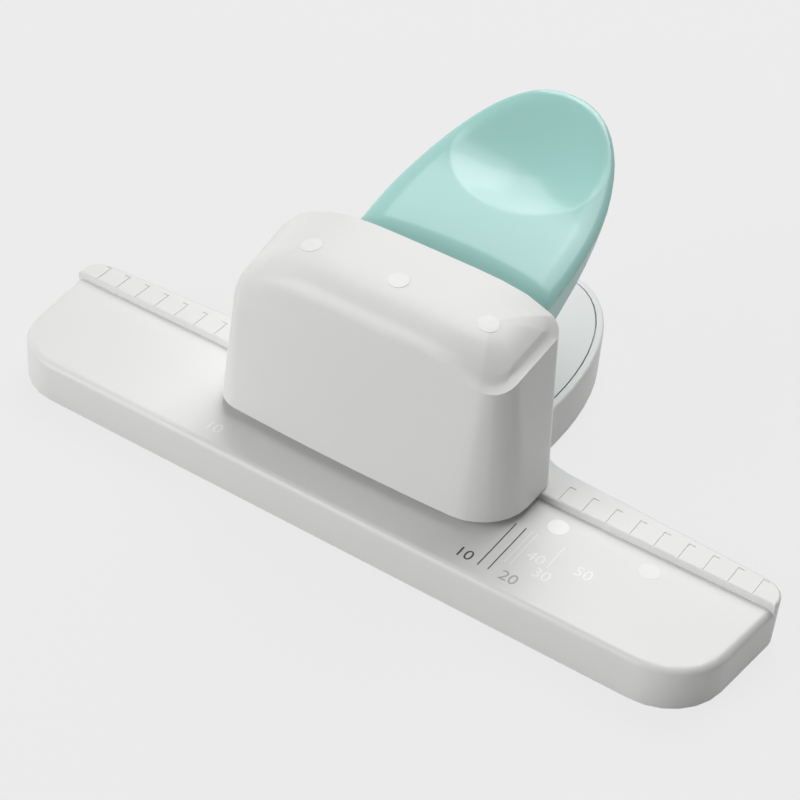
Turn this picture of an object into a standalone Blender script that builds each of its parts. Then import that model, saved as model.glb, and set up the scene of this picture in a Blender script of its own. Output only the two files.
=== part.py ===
"""Three-hole organizer punch: base, covered punch mechanism and thumb lever.

X runs along the paper bed, Y from the front edge to the tongue behind the head, Z up from the desk.
X = 0 is the middle punch pin and Y = 0 is the line of the three pins.
"""
import math

import bmesh
import bpy
from mathutils import Matrix, Vector

MM = 0.001

# Fits
FIT_GAP = 0.3 * MM
CUT_OVERRUN = 2.0 * MM
WELD = 0.004 * MM
FLAT_LIMIT = math.radians(0.02)
ROUND_SIDES = 20
ARC_STEPS = 6

# Holes and pins
HOLE_PITCH = 19.0 * MM
HOLE_SIDES = (-1, 0, 1)
PIN_RADIUS = 2.0 * MM

# Base
DESK_GAP = 0.5 * MM
BED_HEIGHT = 9.6 * MM
STRIP_HEIGHT = 11.0 * MM
FRONT_REACH = 21.1 * MM
FENCE_REACH = 4.5 * MM
END_HALF_FRONT = 76.9 * MM
END_HALF_BACK = 80.2 * MM
END_BACK_REACH = 10.0 * MM
THROAT_REACH = 13.5 * MM
FRONT_CORNER_RADIUS = 12.5 * MM
BACK_CORNER_RADIUS = 4.5 * MM
THROAT_RADIUS = 12.5 * MM
TONGUE_HALF_WIDTH = 21.0 * MM
TONGUE_CENTRE = 30.0 * MM
TONGUE_LENGTH = 38.0 * MM
TONGUE_ROUNDNESS = 2.1
TONGUE_STEPS = 14
BED_EDGE_ROUND = 1.5 * MM
STRIP_EDGE_ROUND = 0.6 * MM
BASE_WALL = 2.0 * MM
BED_THICKNESS = 2.0 * MM
STRIP_THICKNESS = 2.4 * MM
RIB_THICKNESS = 1.4 * MM
RIB_TOP_DEPTH = 0.55 * MM
BAY_HALF_LENGTH = 48.0 * MM
BAY_BACK_REACH = 46.0 * MM
END_RIB_SHARES = (0.28, 0.56)
BAY_RIB_HEIGHT = 3.0 * MM
BAY_RIB_SHARES = (0.8,)

# Ruler ticks on the strip
TICK_COUNT = 9
TICK_PITCH = 5.0 * MM
TICK_START = 35.0 * MM
TICK_LENGTH = 5.0 * MM
TICK_WIDTH = 0.3 * MM
TICK_DEPTH = 0.3 * MM
TICK_HOOK = 1.2 * MM

# Inlay in the tongue
INLAY_MARGIN = 1.9 * MM
INLAY_THICKNESS = 0.9 * MM
INLAY_FRONT = 16.0 * MM
INLAY_CORNER_RADIUS = 6.0 * MM

# Die
DIE_HALF_LENGTH = 26.0 * MM
DIE_FRONT_REACH = 4.8 * MM
DIE_THICKNESS = 1.2 * MM
DIE_CORNER_RADIUS = 1.0 * MM
DIE_BLOCK_HALF = 32.0 * MM
DIE_BLOCK_FRONT = 7.6 * MM
DIE_BLOCK_BACK = 10.2 * MM
DIE_BLOCK_BOTTOM = 4.0 * MM
CHIP_HOLE_RADIUS = 2.6 * MM

# Screws up through the base
SCREW_RADIUS = 1.2 * MM
SCREW_HEAD_RADIUS = 2.2 * MM
SCREW_HEAD_THICKNESS = 1.4 * MM
SCREW_RECESS = 2.3 * MM
SCREW_SLOT_WIDTH = 0.5 * MM
SCREW_SLOT_DEPTH = 0.6 * MM
FRAME_SCREW_X = 9.5 * MM
FRAME_SCREW_Y = 6.7 * MM
SCREW_STANDOUT = 0.7 * MM
COVER_SCREW_X = 27.6 * MM
COVER_SCREW_Y = 6.7 * MM
COVER_SCREW_REACH = 6.0 * MM
COVER_BOSS_RADIUS = 2.5 * MM
COVER_BOSS_HEIGHT = 8.0 * MM
COVER_WEB = 1.6 * MM
HEAD_WEB_LIFT = 0.5 * MM

# Feet
FOOT_RADIUS = 4.0 * MM
FOOT_THICKNESS = 1.2 * MM
FOOT_SOCKET_WALL = 1.2 * MM
FOOT_X = 62.0 * MM
FOOT_FRONT_Y = -12.5 * MM
FOOT_BACK_Y = 3.5 * MM
FOOT_BAY_CLEARANCE = 10.0 * MM

# Chip cover under the base
COVER_THICKNESS = 1.5 * MM
COVER_BOTTOM = 0.9 * MM
KNUCKLE_RADIUS = 1.7 * MM
KNUCKLE_LENGTH = 5.0 * MM
HINGE_PIN_RADIUS = 0.9 * MM
HINGE_PIN_LENGTH = 5.6 * MM
HINGE_Y = -16.6 * MM
HINGE_Z = 2.7 * MM
CATCH_WIDTH = 12.0 * MM
CATCH_HEIGHT = 2.6 * MM
CATCH_THICKNESS = 1.2 * MM

# Steel frame of the mechanism
SHEET = 1.3 * MM
FRAME_HALF = 24.4 * MM
FRAME_FRONT = 6.9 * MM
FRAME_BACK = 8.8 * MM
FRAME_HEIGHT = 9.7 * MM
FRAME_LIP = 4.6 * MM
FRAME_BEND = 1.0 * MM
EAR_RADIUS = 2.5 * MM
EAR_SHOULDER = 8.0 * MM

# Lever shaft and the rod that pushes the pins
PIVOT_Y = -4.4 * MM
PIVOT_Z = 31.0 * MM
SHAFT_RADIUS = 1.5 * MM
SHAFT_STANDOUT = 0.7 * MM
CLIP_RADIUS = 2.1 * MM
CLIP_THICKNESS = 0.6 * MM
CLIP_GROOVE_DEPTH = 0.4 * MM
PRESS_ARM = 5.2 * MM
PRESS_ROD_RADIUS = 1.9 * MM
LEVER_TRAVEL = math.radians(30.0)

# Punch pins
SLOT_HEIGHT = 1.7 * MM
PIN_HEAD_RADIUS = 2.4 * MM
PIN_HEAD_THICKNESS = 1.6 * MM
PIN_CHAMFER = 0.4 * MM
PIN_GROOVE_DEPTH = 0.6 * MM
PIN_GRIND_RADIUS = 3.4 * MM
PIN_GRIND_DEPTH = 0.6 * MM
RING_THICKNESS = 0.6 * MM
RING_RADIUS = 2.9 * MM
RING_MOUTH = 2.0 * MM

# Return springs
WIRE_RADIUS = 0.3 * MM
SPRING_CLEARANCE = 0.45 * MM
SPRING_CURLS = 4
POINTS_PER_CURL = 9
LEAST_WIRE_GAP = 0.4 * MM

# Arcs, sides and shading
EAR_DEGREES = (30.0, 180.0)
HUB_DEGREES = (100.0, 270.0)
ROD_WALL_DEGREES = (260.0, 360.0)
SHARP_ANGLE = math.radians(35.0)
LEVER_SHARP_ANGLE = math.radians(30.0)
HEAD_SHARP_ANGLE = math.radians(28.0)
SHANK_SIDES = 12
BARREL_SIDES = 24

# Head cover
HEAD_LEFT = 33.8 * MM
HEAD_RIGHT = 31.5 * MM
HEAD_FRONT = 10.7 * MM
HEAD_BACK = 11.0 * MM
HEAD_CREST = 49.0 * MM
HEAD_LEFT_RADIUS = 6.0 * MM
HEAD_RIGHT_RADIUS = 10.0 * MM
HEAD_BACK_RADIUS = 5.5 * MM
HEAD_TOP_RADIUS_SHARE = 0.55
HEAD_SIDE_DRAFT = 0.09
HEAD_FRONT_DRAFT = 0.04
HEAD_BACK_DRAFT = 0.01
HEAD_BOW_SHARE = 0.09
HEAD_WALL = 1.7 * MM
HEAD_CEILING = 2.0 * MM
HEAD_SHOULDER_DROP = 4.8 * MM
HEAD_SHOULDER_POWER = 5.0
HEAD_LEFT_DROP = 6.4 * MM
HEAD_LEFT_POWER = 4.4
HEAD_BACK_SLOPE = 0.09
HEAD_FRONT_DROP = 10.5 * MM
HEAD_DRAFT_HEIGHT = 31.0 * MM
HEAD_INSETS = (0.0, 0.5 * MM, 1.4 * MM, 2.0 * MM, 2.4 * MM)
HEAD_CORNER_STEPS = 7
HEAD_SIDE_STEPS = 10
HEAD_RING_SHARES = (0.05, 0.12, 0.21, 0.32, 0.46, 0.64, 0.82, 1.0)
HEAD_COVE_DROPS = (1.6 * MM, 1.45 * MM, 1.15 * MM, 0.75 * MM, 0.0)
HEAD_ROUND_DROPS = (1.6 * MM, 0.55 * MM, 0.12 * MM, 0.03 * MM, 0.0)
HEAD_COVE_START = 19.5 * MM
HEAD_COVE_BLEND = 6.0 * MM
HEAD_COVE_LEFT_Y = -3.0 * MM
HEAD_LINING_INSETS = (0.0, 1.5 * MM, 3.5 * MM)
HEAD_LINING_SHARES = (0.3, 0.6, 1.0)
HEAD_LINING_DROPS = (3.4 * MM, 1.6 * MM, 0.0)
HEAD_SPINE_HALF = 19.0 * MM
HEAD_SPINE_Y = 0.8 * MM
DOOR_HALF = 23.2 * MM
DOOR_BOTTOM = 19.5 * MM
DOOR_TOP = 41.8 * MM

# Lever
LEVER_HALF_WIDTH = 21.4 * MM
LEVER_FRONT = 7.0 * MM
LEVER_RIDGE_Y = 22.5 * MM
LEVER_RIDGE_Z = 43.9 * MM
LEVER_TIP_Y = 59.6 * MM
LEVER_ROUNDNESS = 2.25
LEVER_SLOPE = 0.30
LEVER_CURL_START = 34.0 * MM
LEVER_CURL_RISE = 4.0 * MM
NOSE_Z = 36.9 * MM
NOSE_RISE = 6.5 * MM
NOSE_SIDE_RISE = 1.1 * MM
NOSE_STEPS = 8
LEVER_EDGE_ROUND = 1.5 * MM
LEVER_WALL = 1.9 * MM
LEVER_RIM = 1.0 * MM
LEVER_SKIRT_SLOPE = 0.575
LEVER_SKIRT_Y = 21.0 * MM
LEVER_SKIRT_Z = 36.4 * MM
LEVER_ROUND_SHARES = (0.0, 0.12, 0.42, 1.0)
LEVER_RING_SHARES = (0.1, 0.22, 0.35, 0.48, 0.61, 0.74, 0.87, 1.0)
HOLLOW_RING_SHARES = (0.25, 0.5, 0.75, 1.0)
LEVER_STEPS = 15
LEVER_SIDE_STEPS = 6
LEVER_SPINE_START = 16.0 * MM
LEVER_SPINE_END = 46.5 * MM
SPOON_Y = 45.0 * MM
SPOON_HALF_WIDTH = 16.0 * MM
SPOON_HALF_LENGTH = 13.0 * MM
SPOON_DEPTH = 2.3 * MM
BARREL_RADIUS = 2.6 * MM
BARREL_RELIEF = 0.5 * MM
BRIDGE_STEP = 0.4 * MM
INNER_ARM_X = 9.5 * MM
INNER_ARM_THICKNESS = 2.0 * MM
OUTER_ARM_THICKNESS = 1.1 * MM
ARM_ROD_WALL = 1.3 * MM
ARM_LOW_Y = 20.0 * MM
ARM_LOW_Z = 37.0 * MM
ARM_END_Y = 36.0 * MM
ARM_END_DEPTH = 2.2 * MM
ARM_STEPS = 8

# Worked out from the values above
CEILING_Z = BED_HEIGHT + SLOT_HEIGHT
PIN_TIP_Z = CEILING_Z + FIT_GAP
ROD_REST = LEVER_TRAVEL / 2.0
ROD_Y = PIVOT_Y + PRESS_ARM * math.cos(ROD_REST)
ROD_Z = PIVOT_Z + PRESS_ARM * math.sin(ROD_REST)
PIN_TOP_Z = ROD_Z - PRESS_ROD_RADIUS - FIT_GAP
PIN_HEAD_Z = PIN_TOP_Z - PIN_HEAD_THICKNESS
FRAME_BOTTOM = STRIP_HEIGHT + FIT_GAP
FRAME_FLOOR = FRAME_BOTTOM + SHEET
FRAME_TOP = FRAME_BOTTOM + FRAME_HEIGHT
RING_Z = FRAME_TOP - SHEET - FIT_GAP - RING_THICKNESS
SPRING_LOW = FRAME_TOP + FIT_GAP
SPRING_HIGH = PIN_HEAD_Z - FIT_GAP
SPRING_RADIUS = PIN_RADIUS + SPRING_CLEARANCE + WIRE_RADIUS
EAR_OUTER = FRAME_HALF
EAR_INNER = FRAME_HALF - SHEET
SHAFT_HALF = EAR_OUTER + FIT_GAP + CLIP_THICKNESS + SHAFT_STANDOUT

WHITE = (0.80, 0.80, 0.79, 1.0)
GREY_WHITE = (0.70, 0.72, 0.71, 1.0)
MINT = (0.38, 0.70, 0.64, 1.0)
STEEL = (0.62, 0.62, 0.63, 1.0)
DARK_STEEL = (0.33, 0.34, 0.36, 1.0)
SPRING_STEEL = (0.50, 0.50, 0.52, 1.0)
RUBBER = (0.10, 0.10, 0.11, 1.0)
SMOKE = (0.55, 0.57, 0.58, 1.0)


def clear_scene():
    """Start from an empty scene."""
    for item in list(bpy.data.objects):
        bpy.data.objects.remove(item, do_unlink=True)


def new_collection(name):
    """A collection linked to the scene."""
    collection = bpy.data.collections.new(name)
    bpy.context.scene.collection.children.link(collection)
    return collection


def new_material(name, colour, roughness, metallic):
    """A plain Principled material."""
    material = bpy.data.materials.new(name)
    material.use_nodes = True
    shader = material.node_tree.nodes["Principled BSDF"]
    shader.inputs["Base Color"].default_value = colour
    shader.inputs["Roughness"].default_value = roughness
    shader.inputs["Metallic"].default_value = metallic
    material.diffuse_color = colour
    return material


def white_plastic():
    """Satin white of the base and the head."""
    return new_material("white_plastic", WHITE, 0.35, 0.0)


def inlay_plastic():
    """Slightly greyer white of the inlay."""
    return new_material("inlay_plastic", GREY_WHITE, 0.45, 0.0)


def mint_plastic():
    """Glossy mint of the lever."""
    return new_material("mint_plastic", MINT, 0.2, 0.0)


def steel():
    """Bright steel of pins, shaft and rod."""
    return new_material("steel", STEEL, 0.25, 1.0)


def plated_steel():
    """Duller plated sheet and hardened plate."""
    return new_material("plated_steel", DARK_STEEL, 0.4, 1.0)


def spring_steel():
    """Drawn spring wire."""
    return new_material("spring_steel", SPRING_STEEL, 0.3, 1.0)


def rubber():
    """Black rubber of the feet."""
    return new_material("rubber", RUBBER, 0.8, 0.0)


def smoke_plastic():
    """Grey translucent-looking plastic of the chip cover."""
    return new_material("smoke_plastic", SMOKE, 0.4, 0.0)


def link_mesh(name, mesh_data, collection):
    """Make a mesh object from a bmesh, faces pointing out."""
    bmesh.ops.recalc_face_normals(mesh_data, faces=mesh_data.faces)
    mesh = bpy.data.meshes.new(name)
    mesh_data.to_mesh(mesh)
    mesh_data.free()
    item = bpy.data.objects.new(name, mesh)
    collection.objects.link(item)
    return item


def finish(item, material, sharp_angle=SHARP_ANGLE):
    """Give an object its material and smooth shading with crisp edges."""
    item.data.materials.clear()
    item.data.materials.append(material)
    item.data.shade_smooth()
    item.data.set_sharp_from_angle(angle=sharp_angle)
    return item


def box_shape(name, low, high, collection):
    """A box between two corners."""
    shape = bmesh.new()
    size = [high[axis] - low[axis] for axis in range(3)]
    centre = [(high[axis] + low[axis]) / 2.0 for axis in range(3)]
    placing = Matrix.Translation(centre) @ Matrix.Diagonal((*size, 1.0))
    bmesh.ops.create_cube(shape, size=1.0, matrix=placing)
    return link_mesh(name, shape, collection)


def rod_shape(name, start, end, radius, collection, sides=ROUND_SIDES):
    """A cylinder from one point to another."""
    start = Vector(start)
    end = Vector(end)
    turn = Vector((0.0, 0.0, 1.0)).rotation_difference(end - start).to_matrix().to_4x4()
    shape = bmesh.new()
    bmesh.ops.create_cone(
        shape, cap_ends=True, segments=sides, radius1=radius, radius2=radius,
        depth=(end - start).length, matrix=Matrix.Translation((start + end) / 2.0) @ turn)
    return link_mesh(name, shape, collection)


def skin_layers(shape, layers):
    """Join loops of points, lowest first, by flat faces, and return the loops' vertices."""
    rings = [[shape.verts.new(point) for point in layer] for layer in layers]
    count = len(rings[0])
    for lower, upper in zip(rings, rings[1:]):
        for index in range(count):
            following = (index + 1) % count
            shape.faces.new((lower[index], lower[following], upper[following], upper[index]))
    bmesh.ops.connect_verts_nonplanar(shape, angle_limit=FLAT_LIMIT, faces=shape.faces)
    return rings


def stack_shape(name, layers, collection):
    """A closed solid through loops of points, lowest first, capped at both ends."""
    shape = bmesh.new()
    rings = skin_layers(shape, layers)
    shape.faces.new(list(reversed(rings[0])))
    shape.faces.new(rings[-1])
    return link_mesh(name, shape, collection)


def at_height(loop, height):
    """Lift a plan loop to one height."""
    return [(x, y, height) for x, y in loop]


def prism(name, loop, low, high, collection):
    """A plan loop drawn up from one height to another."""
    return stack_shape(name, [at_height(loop, low), at_height(loop, high)], collection)


def side_prism(name, profile, low_x, high_x, collection):
    """A (y, z) profile drawn along X."""
    layers = [[(x, y, z) for y, z in profile] for x in (low_x, high_x)]
    return stack_shape(name, layers, collection)


def combine(target, tool, operation):
    """Join or cut with an exact Boolean and drop the tool."""
    modifier = target.modifiers.new(operation.lower(), "BOOLEAN")
    modifier.operation = operation
    modifier.solver = "EXACT"
    modifier.object = tool
    graph = bpy.context.evaluated_depsgraph_get()
    mesh = bpy.data.meshes.new_from_object(target.evaluated_get(graph))
    target.modifiers.clear()
    old = target.data
    target.data = mesh
    bpy.data.meshes.remove(old)
    bpy.data.objects.remove(tool, do_unlink=True)
    return target


def join(target, tool):
    """Boolean union."""
    return combine(target, tool, "UNION")


def cut(target, tool):
    """Boolean difference."""
    return combine(target, tool, "DIFFERENCE")


def keep_inside(target, tool):
    """Boolean intersection."""
    return combine(target, tool, "INTERSECT")


def clean(item, distance=WELD):
    """Weld the slivers that cuts leave, and flatten what lies in one plane."""
    shape = bmesh.new()
    shape.from_mesh(item.data)
    bmesh.ops.remove_doubles(shape, verts=shape.verts, dist=distance)
    bmesh.ops.dissolve_degenerate(shape, dist=distance, edges=shape.edges)
    shape.to_mesh(item.data)
    shape.free()
    return item


def arc_corner(before, corner, after, radius, steps):
    """Points of the arc that rounds one corner of an outline."""
    corner = Vector(corner)
    back = (Vector(before) - corner).normalized()
    ahead = (Vector(after) - corner).normalized()
    half = back.angle(ahead) / 2.0
    reach = radius / math.tan(half)
    centre = corner + (back + ahead).normalized() * (radius / math.sin(half))
    start = corner + back * reach - centre
    end = corner + ahead * reach - centre
    sweep = start.angle_signed(end)
    points = []
    for step in range(steps + 1):
        turned = start.copy()
        turned.rotate(Matrix.Rotation(-sweep * step / steps, 2))
        points.append(tuple(centre + turned))
    return points


def rounded_outline(corners, steps=ARC_STEPS):
    """Closed plan loop from corners given as (x, y, radius)."""
    loop = []
    count = len(corners)
    for index, (x, y, radius) in enumerate(corners):
        if radius == 0:
            loop.append((x, y))
            continue
        before = corners[index - 1][:2]
        after = corners[(index + 1) % count][:2]
        loop.extend(arc_corner(before, (x, y), after, radius, steps))
    return loop


def inset_loop(loop, distance):
    """Move a counter-clockwise plan loop inwards by a distance."""
    moved = []
    count = len(loop)
    for index in range(count):
        point = Vector(loop[index])
        back = (point - Vector(loop[index - 1])).normalized()
        ahead = (Vector(loop[(index + 1) % count]) - point).normalized()
        inward = Vector((-back.y - ahead.y, back.x + ahead.x)).normalized()
        square = Vector((-back.y, back.x))
        moved.append(tuple(point + inward * (distance / inward.dot(square))))
    return moved


def egg_side(half_width, centre, length, roundness, steps, inset=0.0):
    """Right side of an egg-shaped tip, from its widest place to the tip."""
    points = []
    for step in range(steps + 1):
        angle = math.pi / 2.0 * step / steps
        across = math.cos(angle) ** (2.0 / roundness)
        along = math.sin(angle) ** (2.0 / roundness)
        points.append(((half_width - inset) * across, centre + (length - inset) * along))
    return points


def crown_shape(name, layers, collection):
    """A closed solid through loops of points whose last loop folds up into a line."""
    shape = bmesh.new()
    rings = skin_layers(shape, layers)
    shape.faces.new(list(reversed(rings[0])))
    bmesh.ops.remove_doubles(shape, verts=shape.verts, dist=WELD)
    return link_mesh(name, shape, collection)


def mirrored(right_side):
    """Close a counter-clockwise loop from its right side, which runs front to back."""
    tiny = 0.001 * MM
    left_side = [(-x, y) for x, y in reversed(right_side) if x > tiny]
    return right_side + left_side


def base_outline():
    """Plan of the base: bar with rounded ends, throat fillets and the tongue."""
    corners = [
        (0.0, -FRONT_REACH, 0.0),
        (END_HALF_FRONT, -FRONT_REACH, FRONT_CORNER_RADIUS),
        (END_HALF_BACK, END_BACK_REACH, BACK_CORNER_RADIUS),
        (TONGUE_HALF_WIDTH, THROAT_REACH, THROAT_RADIUS),
        (TONGUE_HALF_WIDTH, TONGUE_CENTRE, 0.0),
    ]
    right_side = rounded_outline(corners)[1:-1]
    tip = egg_side(TONGUE_HALF_WIDTH, TONGUE_CENTRE, TONGUE_LENGTH, TONGUE_ROUNDNESS, TONGUE_STEPS)
    return mirrored(right_side + tip)


def rounded_block(name, loop, low, high, edge_round, collection):
    """A plan loop drawn up, with its top edge rounded."""
    layers = [at_height(loop, low)]
    for share in (0.0, 0.25, 0.5, 0.75, 1.0):
        angle = math.pi / 2.0 * share
        inset = edge_round * (1.0 - math.cos(angle))
        height = high - edge_round * (1.0 - math.sin(angle))
        layers.append(at_height(inset_loop(loop, inset), height))
    return stack_shape(name, layers, collection)


def divided_at(loop, line_y):
    """A plan loop with a point of its own wherever it crosses a line along X."""
    divided = []
    for index, (x, y) in enumerate(loop):
        before_x, before_y = loop[index - 1]
        if (before_y - line_y) * (y - line_y) < 0.0 and min(abs(before_y - line_y), abs(y - line_y)) > WELD:
            share = (line_y - before_y) / (y - before_y)
            divided.append((before_x + (x - before_x) * share, line_y))
        divided.append((x, line_y if abs(y - line_y) <= WELD else y))
    return divided


def behind(loop, line_y):
    """The part of a divided loop that lies on or behind the line."""
    return [point for point in loop if point[1] >= line_y]


def hole_places():
    """X places of the three punch pins."""
    return [side * HOLE_PITCH for side in HOLE_SIDES]


def screw_places():
    """(x, y) places of the screws that come up through the base."""
    places = []
    for side in (-1, 1):
        places.append((side * FRAME_SCREW_X, FRAME_SCREW_Y))
        places.append((side * COVER_SCREW_X, COVER_SCREW_Y))
    return places


def foot_places():
    """Name and (x, y) place of each foot."""
    return {
        "foot_front_left": (-FOOT_X, FOOT_FRONT_Y),
        "foot_front_right": (FOOT_X, FOOT_FRONT_Y),
        "foot_back_left": (-FOOT_X, FOOT_BACK_Y),
        "foot_back_right": (FOOT_X, FOOT_BACK_Y),
        "foot_tongue": (0.0, BAY_BACK_REACH + FOOT_BAY_CLEARANCE),
    }


def inlay_loop(extra):
    """Plan of the tongue inlay, grown by a clearance for its recess."""
    margin = INLAY_MARGIN - extra
    front = INLAY_FRONT - extra
    half = TONGUE_HALF_WIDTH - margin
    corners = [(0.0, front, 0.0), (half, front, INLAY_CORNER_RADIUS + extra), (half, TONGUE_CENTRE, 0.0)]
    right_side = rounded_outline(corners)[1:-1]
    tip = egg_side(TONGUE_HALF_WIDTH, TONGUE_CENTRE, TONGUE_LENGTH, TONGUE_ROUNDNESS, TONGUE_STEPS, margin)
    return mirrored(right_side + tip)


def die_loop(extra):
    """Plan of the die plate, grown by a clearance for its pocket."""
    back = FENCE_REACH - FIT_GAP
    radius = DIE_CORNER_RADIUS + extra
    return rounded_outline([
        (-DIE_HALF_LENGTH - extra, -DIE_FRONT_REACH - extra, radius),
        (DIE_HALF_LENGTH + extra, -DIE_FRONT_REACH - extra, radius),
        (DIE_HALF_LENGTH + extra, back + extra, radius),
        (-DIE_HALF_LENGTH - extra, back + extra, radius)], 3)


def add_base_ribs(base, collection, cutters, outline):
    """Cross walls round the chip bay, ribs, foot sockets and the block under the die."""
    roof = BED_HEIGHT - RIB_TOP_DEPTH
    ribs = []
    end_length = END_HALF_FRONT - BAY_HALF_LENGTH
    for side in (-1, 1):
        places = [BAY_HALF_LENGTH] + [BAY_HALF_LENGTH + share * end_length for share in END_RIB_SHARES]
        for place in places:
            ribs.append((side * place, DESK_GAP))
        for share in BAY_RIB_SHARES:
            ribs.append((side * share * BAY_HALF_LENGTH, roof - BAY_RIB_HEIGHT))
    for place, low in ribs:
        rib = box_shape(
            "rib", (place - RIB_THICKNESS / 2.0, -FRONT_REACH, low),
            (place + RIB_THICKNESS / 2.0, THROAT_REACH, roof), collection)
        keep_inside(rib, prism(
            "rib_limit", inset_loop(outline, BASE_WALL / 2.0), 0.0, STRIP_HEIGHT, cutters))
        join(base, rib)
    wall = box_shape(
        "tongue_wall", (-TONGUE_HALF_WIDTH, BAY_BACK_REACH, DESK_GAP),
        (TONGUE_HALF_WIDTH, BAY_BACK_REACH + RIB_THICKNESS, roof), collection)
    keep_inside(wall, prism("wall_limit", inset_loop(outline, BASE_WALL / 2.0), 0.0, STRIP_HEIGHT, cutters))
    join(base, wall)
    for x, y in foot_places().values():
        radius = FOOT_RADIUS + FIT_GAP + FOOT_SOCKET_WALL
        join(base, rod_shape("foot_post", (x, y, DESK_GAP), (x, y, roof), radius, collection))
    join(base, box_shape(
        "die_block", (-DIE_BLOCK_HALF, -DIE_BLOCK_FRONT, DIE_BLOCK_BOTTOM),
        (DIE_BLOCK_HALF, DIE_BLOCK_BACK, roof), collection))


def cut_base_fits(base, cutters):
    """Recesses and holes for everything that the base carries."""
    pocket_floor = BED_HEIGHT - DIE_THICKNESS - FIT_GAP
    cut(base, prism("die_pocket", die_loop(FIT_GAP), pocket_floor, BED_HEIGHT + CUT_OVERRUN, cutters))
    for x in hole_places():
        cut(base, rod_shape(
            "chip_hole", (x, 0.0, DIE_BLOCK_BOTTOM - CUT_OVERRUN), (x, 0.0, BED_HEIGHT),
            CHIP_HOLE_RADIUS, cutters))
    for x, y in screw_places():
        cut(base, rod_shape(
            "screw_hole", (x, y, 0.0), (x, y, STRIP_HEIGHT + CUT_OVERRUN), SCREW_RADIUS + FIT_GAP, cutters))
        cut(base, rod_shape(
            "screw_recess", (x, y, DIE_BLOCK_BOTTOM - CUT_OVERRUN), (x, y, DIE_BLOCK_BOTTOM + SCREW_RECESS),
            SCREW_HEAD_RADIUS + FIT_GAP, cutters))
    cut(base, prism(
        "inlay_recess", inlay_loop(FIT_GAP), STRIP_HEIGHT - INLAY_THICKNESS - FIT_GAP,
        STRIP_HEIGHT + CUT_OVERRUN, cutters))
    for x, y in foot_places().values():
        cut(base, rod_shape(
            "foot_socket", (x, y, 0.0), (x, y, FOOT_THICKNESS + FIT_GAP), FOOT_RADIUS + FIT_GAP, cutters))
    for side in (-1, 1):
        inner = side * (BAY_HALF_LENGTH - CUT_OVERRUN)
        outer = side * (BAY_HALF_LENGTH + CUT_OVERRUN)
        cut(base, rod_shape(
            "hinge_hole", (inner, HINGE_Y, HINGE_Z), (outer, HINGE_Y, HINGE_Z),
            HINGE_PIN_RADIUS + FIT_GAP, cutters))


def cut_base_ticks(base, cutters):
    """Engraved ruler ticks, each with a short hook at its far end."""
    depth_z = STRIP_HEIGHT - TICK_DEPTH
    top_z = STRIP_HEIGHT + CUT_OVERRUN
    far_y = FENCE_REACH + TICK_LENGTH
    for side in (-1, 1):
        for number in range(TICK_COUNT):
            x = side * (TICK_START + number * TICK_PITCH)
            near_y = FENCE_REACH - CUT_OVERRUN
            hook_x = x + side * TICK_HOOK
            half = side * TICK_WIDTH / 2.0
            loop = [
                (x - half, near_y), (x + half, near_y), (x + half, far_y - TICK_WIDTH),
                (hook_x, far_y - TICK_WIDTH), (hook_x, far_y), (x - half, far_y)]
            cut(base, prism("tick", loop if side > 0 else loop[::-1], depth_z, top_z, cutters))


def make_base_body(parts, cutters):
    """White base: paper bed, fence step, ruler strip and tongue over a ribbed hollow."""
    outline = divided_at(base_outline(), FENCE_REACH)
    base = rounded_block("base_body", outline, DESK_GAP, BED_HEIGHT, BED_EDGE_ROUND, parts)
    strip = behind(outline, FENCE_REACH)
    join(base, rounded_block("strip", strip, DESK_GAP, STRIP_HEIGHT, STRIP_EDGE_ROUND, parts))
    hollow = divided_at(inset_loop(outline, BASE_WALL), FENCE_REACH + BASE_WALL)
    cut(base, prism("bed_hollow", hollow, 0.0, BED_HEIGHT - BED_THICKNESS, cutters))
    strip_hollow = behind(hollow, FENCE_REACH + BASE_WALL)
    cut(base, prism("strip_hollow", strip_hollow, 0.0, STRIP_HEIGHT - STRIP_THICKNESS, cutters))
    add_base_ribs(base, parts, cutters, outline)
    cut_base_fits(base, cutters)
    cut_base_ticks(base, cutters)
    return finish(clean(base), white_plastic())


def make_tongue_inlay(parts):
    """Thin inlay let into the tongue, flush with the strip."""
    low = STRIP_HEIGHT - INLAY_THICKNESS
    return finish(prism("tongue_inlay", inlay_loop(0.0), low, STRIP_HEIGHT, parts), inlay_plastic())


def make_die_plate(parts, cutters):
    """Hardened plate with the three die holes, flush with the bed."""
    plate = prism("die_plate", die_loop(0.0), BED_HEIGHT - DIE_THICKNESS, BED_HEIGHT, parts)
    for x in hole_places():
        cut(plate, rod_shape(
            "die_hole", (x, 0.0, 0.0), (x, 0.0, BED_HEIGHT + CUT_OVERRUN), PIN_RADIUS + FIT_GAP, cutters))
    return finish(clean(plate), plated_steel())


def make_feet(parts):
    """Rubber feet in their sockets."""
    black = rubber()
    for name, (x, y) in foot_places().items():
        finish(rod_shape(name, (x, y, 0.0), (x, y, FOOT_THICKNESS), FOOT_RADIUS, parts), black)


def make_screw(name, x, y, tip_z, material, parts, cutters):
    """Slotted pan-head screw, head down in its recess."""
    head_z = DIE_BLOCK_BOTTOM + SCREW_RECESS - FIT_GAP
    low_z = head_z - SCREW_HEAD_THICKNESS
    middle_z = head_z - SCREW_HEAD_THICKNESS / 2.0
    screw = rod_shape(name, (x, y, low_z), (x, y, head_z), SCREW_HEAD_RADIUS, parts)
    join(screw, rod_shape("shank", (x, y, middle_z), (x, y, tip_z), SCREW_RADIUS, parts, SHANK_SIDES))
    slot_top = low_z + SCREW_SLOT_DEPTH
    cut(screw, box_shape(
        "slot", (x - SCREW_HEAD_RADIUS - CUT_OVERRUN, y - SCREW_SLOT_WIDTH / 2.0, 0.0),
        (x + SCREW_HEAD_RADIUS + CUT_OVERRUN, y + SCREW_SLOT_WIDTH / 2.0, slot_top), cutters))
    return finish(clean(screw), material)


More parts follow.
